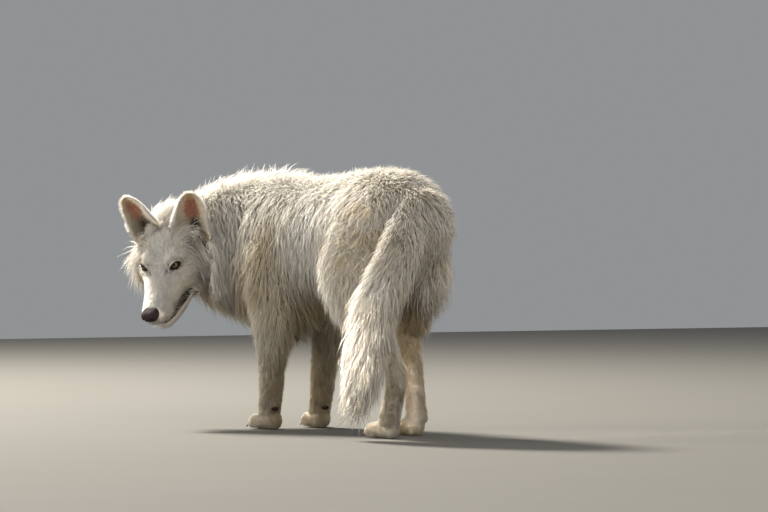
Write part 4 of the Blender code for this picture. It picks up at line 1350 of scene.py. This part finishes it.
# lids: a patch from the almond opening out to the face. Near the opening it lies on a ball round the eye, flattened
# across, and further out it blends into the skin; its rim turns in towards the eye
def makeLids(side):
    centre, (across, over, forward) = eyeCentre[side], eyeAxes[side]
    turn = np.linspace(0, 2 * np.pi, 72, endpoint=False)[None]
    steps = np.array([-0.16, -0.06, 0.0, 0.05, 0.12, 0.20, 0.32, 0.46, 0.62, 0.80, 1.0])[:, None]
    tall = np.where(np.sin(turn) > 0, lid["upper"], lid["lower"])
    almondWide = lid["halfLength"] * np.cos(turn)
    almondTall = lid["corner"] + tall * np.sign(np.sin(turn)) * np.abs(np.sin(turn)) ** 1.2
    outerWide, outerTall = lid["outerLength"] * np.cos(turn), lid["outerHeight"] * np.sin(turn)
    share, inward = np.maximum(steps, 0), np.minimum(steps, 0)
    middle = lid["corner"] * 0.4
    x = almondWide * (1 + inward * 0.5) + (outerWide - almondWide) * share
    y = middle + (almondTall - middle) * (1 + inward * 1.2) + (outerTall - almondTall) * share
    fold = 0.0016 * bell((y - 0.0065) / 0.0040) * bell(x / 0.014)       # of the upper lid
    onBall = np.sqrt(np.maximum(lid["reach"] ** 2 - (x * 0.66) ** 2 - y**2, 1e-6)) + inward * 0.018 + fold
    flat = centre + across * x[..., None] + over * y[..., None]
    outside = 0.035         # where the rays that look for the face start
    start = flat.reshape(-1, 3) + forward * outside
    meets = [wholeFace.ray_cast(Vector(p), Vector(-forward), 0.08)[3] for p in start]
    face = np.array([outside - m if m is not None else 0.0 for m in meets]).reshape(x.shape)
    blend = ramp(share, 0.12, 0.80)
    out = onBall * (1 - blend) + (face - 0.0007 * ramp(share, 0.8, 1.0)) * blend
    points = (flat + forward * out[..., None]).reshape(-1, 3)
    rows, around = x.shape
    triangles = facingOut(points, tubeTriangles(rows, around)[: 2 * around * (rows - 1)], centre)
    piece = newPiece(f"lids_{side}", points, triangles, skinMaterial, "coat")
    x, y, far = x.ravel(), y.ravel(), np.repeat(steps, around, 1).ravel()
    rim = eyeRim(x, y)
    tones = markings(points)
    tones[:, 2] = np.maximum(tones[:, 2], np.maximum(rim, far < 0.06))
    tones[:, 1] = np.maximum(tones[:, 1], 0.55 * (1 - ramp(far, 0.20, 0.55)))
    setColours(piece.data, "coat", np.column_stack([tones, np.full(len(tones), 0.7)]))
    normals = vertexNormals(points, triangles)
    away = across * x[:, None] + over * (y - lid["corner"])[:, None]
    ground = dict(
        points=points, triangles=triangles, normals=normals, lie=flatOn(unit(away) * 0.9 - ahead * 0.7, normals),
        length=0.0055 + 0.004 * ramp(far, 0.3, 1.0), height=0.0009 + 0.0022 * ramp(far, 0.1, 0.9), width=0.0008,
        sway=0.05, clump=0.008, curls=0.0, density=(1 - ramp(rim, 0, 0.2)) * ramp(far, 0.10, 0.28), bend=0.1,
        gather=0.15, droop=0.0, flat=np.column_stack([0.5 + x / 0.06, 0.5 + y / 0.06]))
    growPiece(f"lidCoat_{side}", ground, lid["locks"], shortLock, "coat")


for side, flip in flips.items():
    makeEye(side, flip)
    makeLids(side)
print("eyes made")

# the nose leather: its middle and half sizes on the head's axes; nostrils and groove are cut by the depth and painted
# black inside as shade
nose = dict(
    middle=(0.1415, 0, -0.0490), half=(0.0205, 0.0242, 0.0185), square=3.0, depth=0.0055,
    # inside is the black painted as shade in the nostrils and the groove
    colour=(0.022, 0.016, 0.018), pale=(0.060, 0.044, 0.048), inside=(0.003, 0.003, 0.003), rows=56, turns=72)


# a rounded box, |x|^p + |y|^p + |z|^p = 1, narrowed below, with two comma-shaped hollows in front and a groove between
def makeNose():
    polar = np.linspace(0.02, np.pi - 0.02, nose["rows"])[:, None]
    turn = np.linspace(0, 2 * np.pi, nose["turns"], endpoint=False)[None]
    way = np.stack(np.broadcast_arrays(np.cos(polar), np.sin(polar) * np.cos(turn), np.sin(polar) * np.sin(turn)), -1)
    shape = way / (np.abs(way) ** nose["square"]).sum(-1, keepdims=True) ** (1 / nose["square"])
    shape[..., 1] *= 1 - 0.28 * ramp(-shape[..., 2], 0.1, 1.0)
    shape[..., 0] -= 0.30 * ramp(-shape[..., 2], -0.2, 1.0)     # the lower part lies further back
    place = shape * nose["half"]
    l, b = place[..., 1], place[..., 2]
    off = np.abs(l)
    front = ramp(shape[..., 0], 0.0, 0.5)
    shadedHollow = bell((off - 0.0105) / 0.0038, (b + 0.0008) / 0.0040)
    comma = bell((off - 0.0180) / 0.0048, (b + 0.0050 + (off - 0.0180) * 0.3) / 0.0019) * 0.6
    groove = bell(l / 0.0011) * ramp(-b, -0.004, 0.004) * 0.26
    dip = np.clip(shadedHollow + comma + groove, 0, 1.0) * front
    place[..., 0] -= nose["depth"] * dip
    place[..., 1] -= np.sign(l) * 0.0015 * comma
    points = (onHead(*nose["middle"]) + place @ axes).reshape(-1, 3)
    triangles = facingOut(points, tubeTriangles(nose["rows"], nose["turns"]), points.mean(0))
    piece = newPiece("noseLeather", points, triangles, noseMaterial(), "nose_leather")
    setValues(piece.data, "shadedHollow", dip)
    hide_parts("nose")


# pebbled leather: cells for bump, a little paler in cloudy patches, and black painted shade in the nostrils and the
# groove
def noseMaterial():
    material = newMaterial("nose leather", nose["colour"], 0.7, **{"Specular IOR Level": 0.06})
    tree = material.node_tree
    place = addNode(tree, "ShaderNodeTexCoord").outputs["Object"]
    cells = addNode(tree, "ShaderNodeTexVoronoi", dict(Vector=place, Scale=850)).outputs["Distance"]
    colour = addMottle(tree, 120, 2, nose["colour"], nose["pale"])["Colour"]
    shadedHollow = addNode(tree, "ShaderNodeAttribute", attribute_name="shadedHollow").outputs["Fac"]
    colourWith(tree, mixColours(tree, shadedHollow, colour, nose["inside"]))
    raiseWith(tree, cells, 0.55, 0.0006, invert=True)
    return material


makeNose()

# half of each lip from the corner round to the front: ahead, left, out of the forehead, radius; and the stations of
# the mouth's lining, near black as painted shade inside the mouth, and the tongue
mouth = dict(
    upper=[
        (-0.002, 0.0550, -0.0890, 0.0024), (0.020, 0.0505, -0.0850, 0.0030), (0.050, 0.0430, -0.0860, 0.0030),
        (0.080, 0.0385, -0.0870, 0.0028), (0.105, 0.0335, -0.0855, 0.0025), (0.126, 0.0225, -0.0810, 0.0022),
        (0.137, 0.0070, -0.0750, 0.0018)],
    lower=[
        (-0.002, 0.0545, -0.0910, 0.0024), (0.015, 0.0470, -0.0965, 0.0030), (0.050, 0.0380, -0.0990, 0.0034),
        (0.085, 0.0300, -0.0980, 0.0038), (0.106, 0.0215, -0.0960, 0.0038), (0.117, 0.0100, -0.0950, 0.0034),
        (0.120, 0.0, -0.0950, 0.0032)],
    lining=[
        (0.000, 0, -0.092, 0.046, 0.012, 0.012), (0.050, 0, -0.092, 0.033, 0.012, 0.012),
        (0.090, 0, -0.091, 0.024, 0.012, 0.012), (0.108, 0, -0.090, 0.014, 0.010, 0.010)],
    tongue=[
        (0.055, 0, -0.0945, 0.030, 0.0040, 0.004), (0.085, 0, -0.0935, 0.0275, 0.0045, 0.005),
        (0.108, 0, -0.0925, 0.0215, 0.0045, 0.005), (0.117, 0, -0.0925, 0.0150, 0.004, 0.004)])
lipMaterial = mottled("lips", (0.006, 0.005, 0.005), (0.016, 0.012, 0.012), 0.38, 300, 0.4)
gumMaterial = mottled("gum", (0.016, 0.006, 0.006), (0.034, 0.012, 0.011), 0.3, 260, 0.3)
# the lining's near black is painted shade inside the mouth
liningShadeMaterial = mottled("mouth lining", (0.004, 0.002, 0.002), (0.011, 0.005, 0.005), 0.4, 180, 0.4)
tongueMaterial = mottled("tongue", (0.12, 0.030, 0.026), (0.20, 0.055, 0.046), 0.35, 420, 0.6)
padMaterial = mottled(
    "pad leather", (0.012, 0.009, 0.008), (0.055, 0.040, 0.032), 0.8, 500, 0.9, **{"Specular IOR Level": 0.1})


# a lip's stations from the left corner round the front to the right corner
def wholeLip(rows):
    there = [(a, l, b, r, r, r) for a, l, b, r in rows]
    return there + [(a, -l, *rest) for a, l, *rest in there[::-1] if l != 0]


def mouthPiece(name, stations, material, **values):
    made = loft(headStations(stations), brow, **values)
    newPiece(name, made["points"], made["triangles"], material, "mouth")


mouthPiece("upperLip", wholeLip(mouth["upper"]), lipMaterial, sides=12, steps=5)
mouthPiece("lowerLip", wholeLip(mouth["lower"]), gumMaterial, sides=12, steps=5)
mouthPiece("mouthLiningShade", mouth["lining"], liningShadeMaterial, sides=24)
mouthPiece("tongue", mouth["tongue"], tongueMaterial, sides=28)

horn = mottled("claw horn", (0.030, 0.024, 0.020), (0.16, 0.12, 0.09), 0.35, 260, 0.3)
for name, node in nodes.items():
    if "claw" in name:
        node.data.materials.clear()
        node.data.materials.append(horn)

wristPad = dict(behind=0.0195, z=0.056, half=(0.0112, 0.0075, 0.0064))
for name in ("fore_left", "fore_right"):
    x, y, _, heel = stance[name]
    middle = np.array([x + shift[0], y + heel + shift[1] + wristPad["behind"], wristPad["z"]])
    made = ball(middle, wristPad["half"], np.eye(3), sides=24)
    newPiece(f"wristPad_{name}", made["points"], made["triangles"], padMaterial, "mouth")

whisker = dict(
    count=13, length=0.062, thick=0.00055, root=(0.30, 0.26, 0.22), tip=(0.70, 0.65, 0.58),
    steps=[0.0, 0.2, 0.45, 0.75], widths=[1.0, 0.9, 0.7, 0.45])


# tapered hairs in four rows on each lip pad, sweeping out and back
def makeWhiskers():
    k = np.arange(whisker["count"])
    a, b = 0.072 + 0.011 * (k % 4) + 0.002 * (k // 4), -0.062 - 0.0065 * (k // 4)
    spots, normals, ways = [], [], []
    for flip in (1, -1):
        for further, lower in zip(a, b):
            start = onHead(further, flip * 0.09, lower)
            spot, normal, *_ = wholeFace.ray_cast(Vector(start), Vector(-left * flip), 0.12)
            if spot is not None:
                spots.append(np.array(spot))
                normals.append(np.array(normal))
                ways.append(unit(left * flip * 0.4 - ahead * 0.9 - brow * 0.25))
    root, normal, way = (np.array(v) for v in (spots, normals, ways))
    count = len(root)
    way = flatOn(way, normal)
    size = whisker["length"] * (0.6 + 0.4 * rng.random(count))
    points = lockPoints(
        root, normal, way, size * 0.8, size * 0.5, np.full(count, whisker["thick"]), np.zeros((count, 3)), size * 0.05,
        np.full(count, 0.5), rng.random(count), size * 0.1, whisker["steps"], whisker["widths"])
    lockPiece("whiskers", points, whisker, np.zeros((count, 3)), rng.random((count, 2)), whiskerMaterial, "coat")


whiskerMaterial = mottled("whisker", whisker["root"], whisker["tip"], 0.4, 90)
makeWhiskers()
print("mouth, claws and whiskers made")
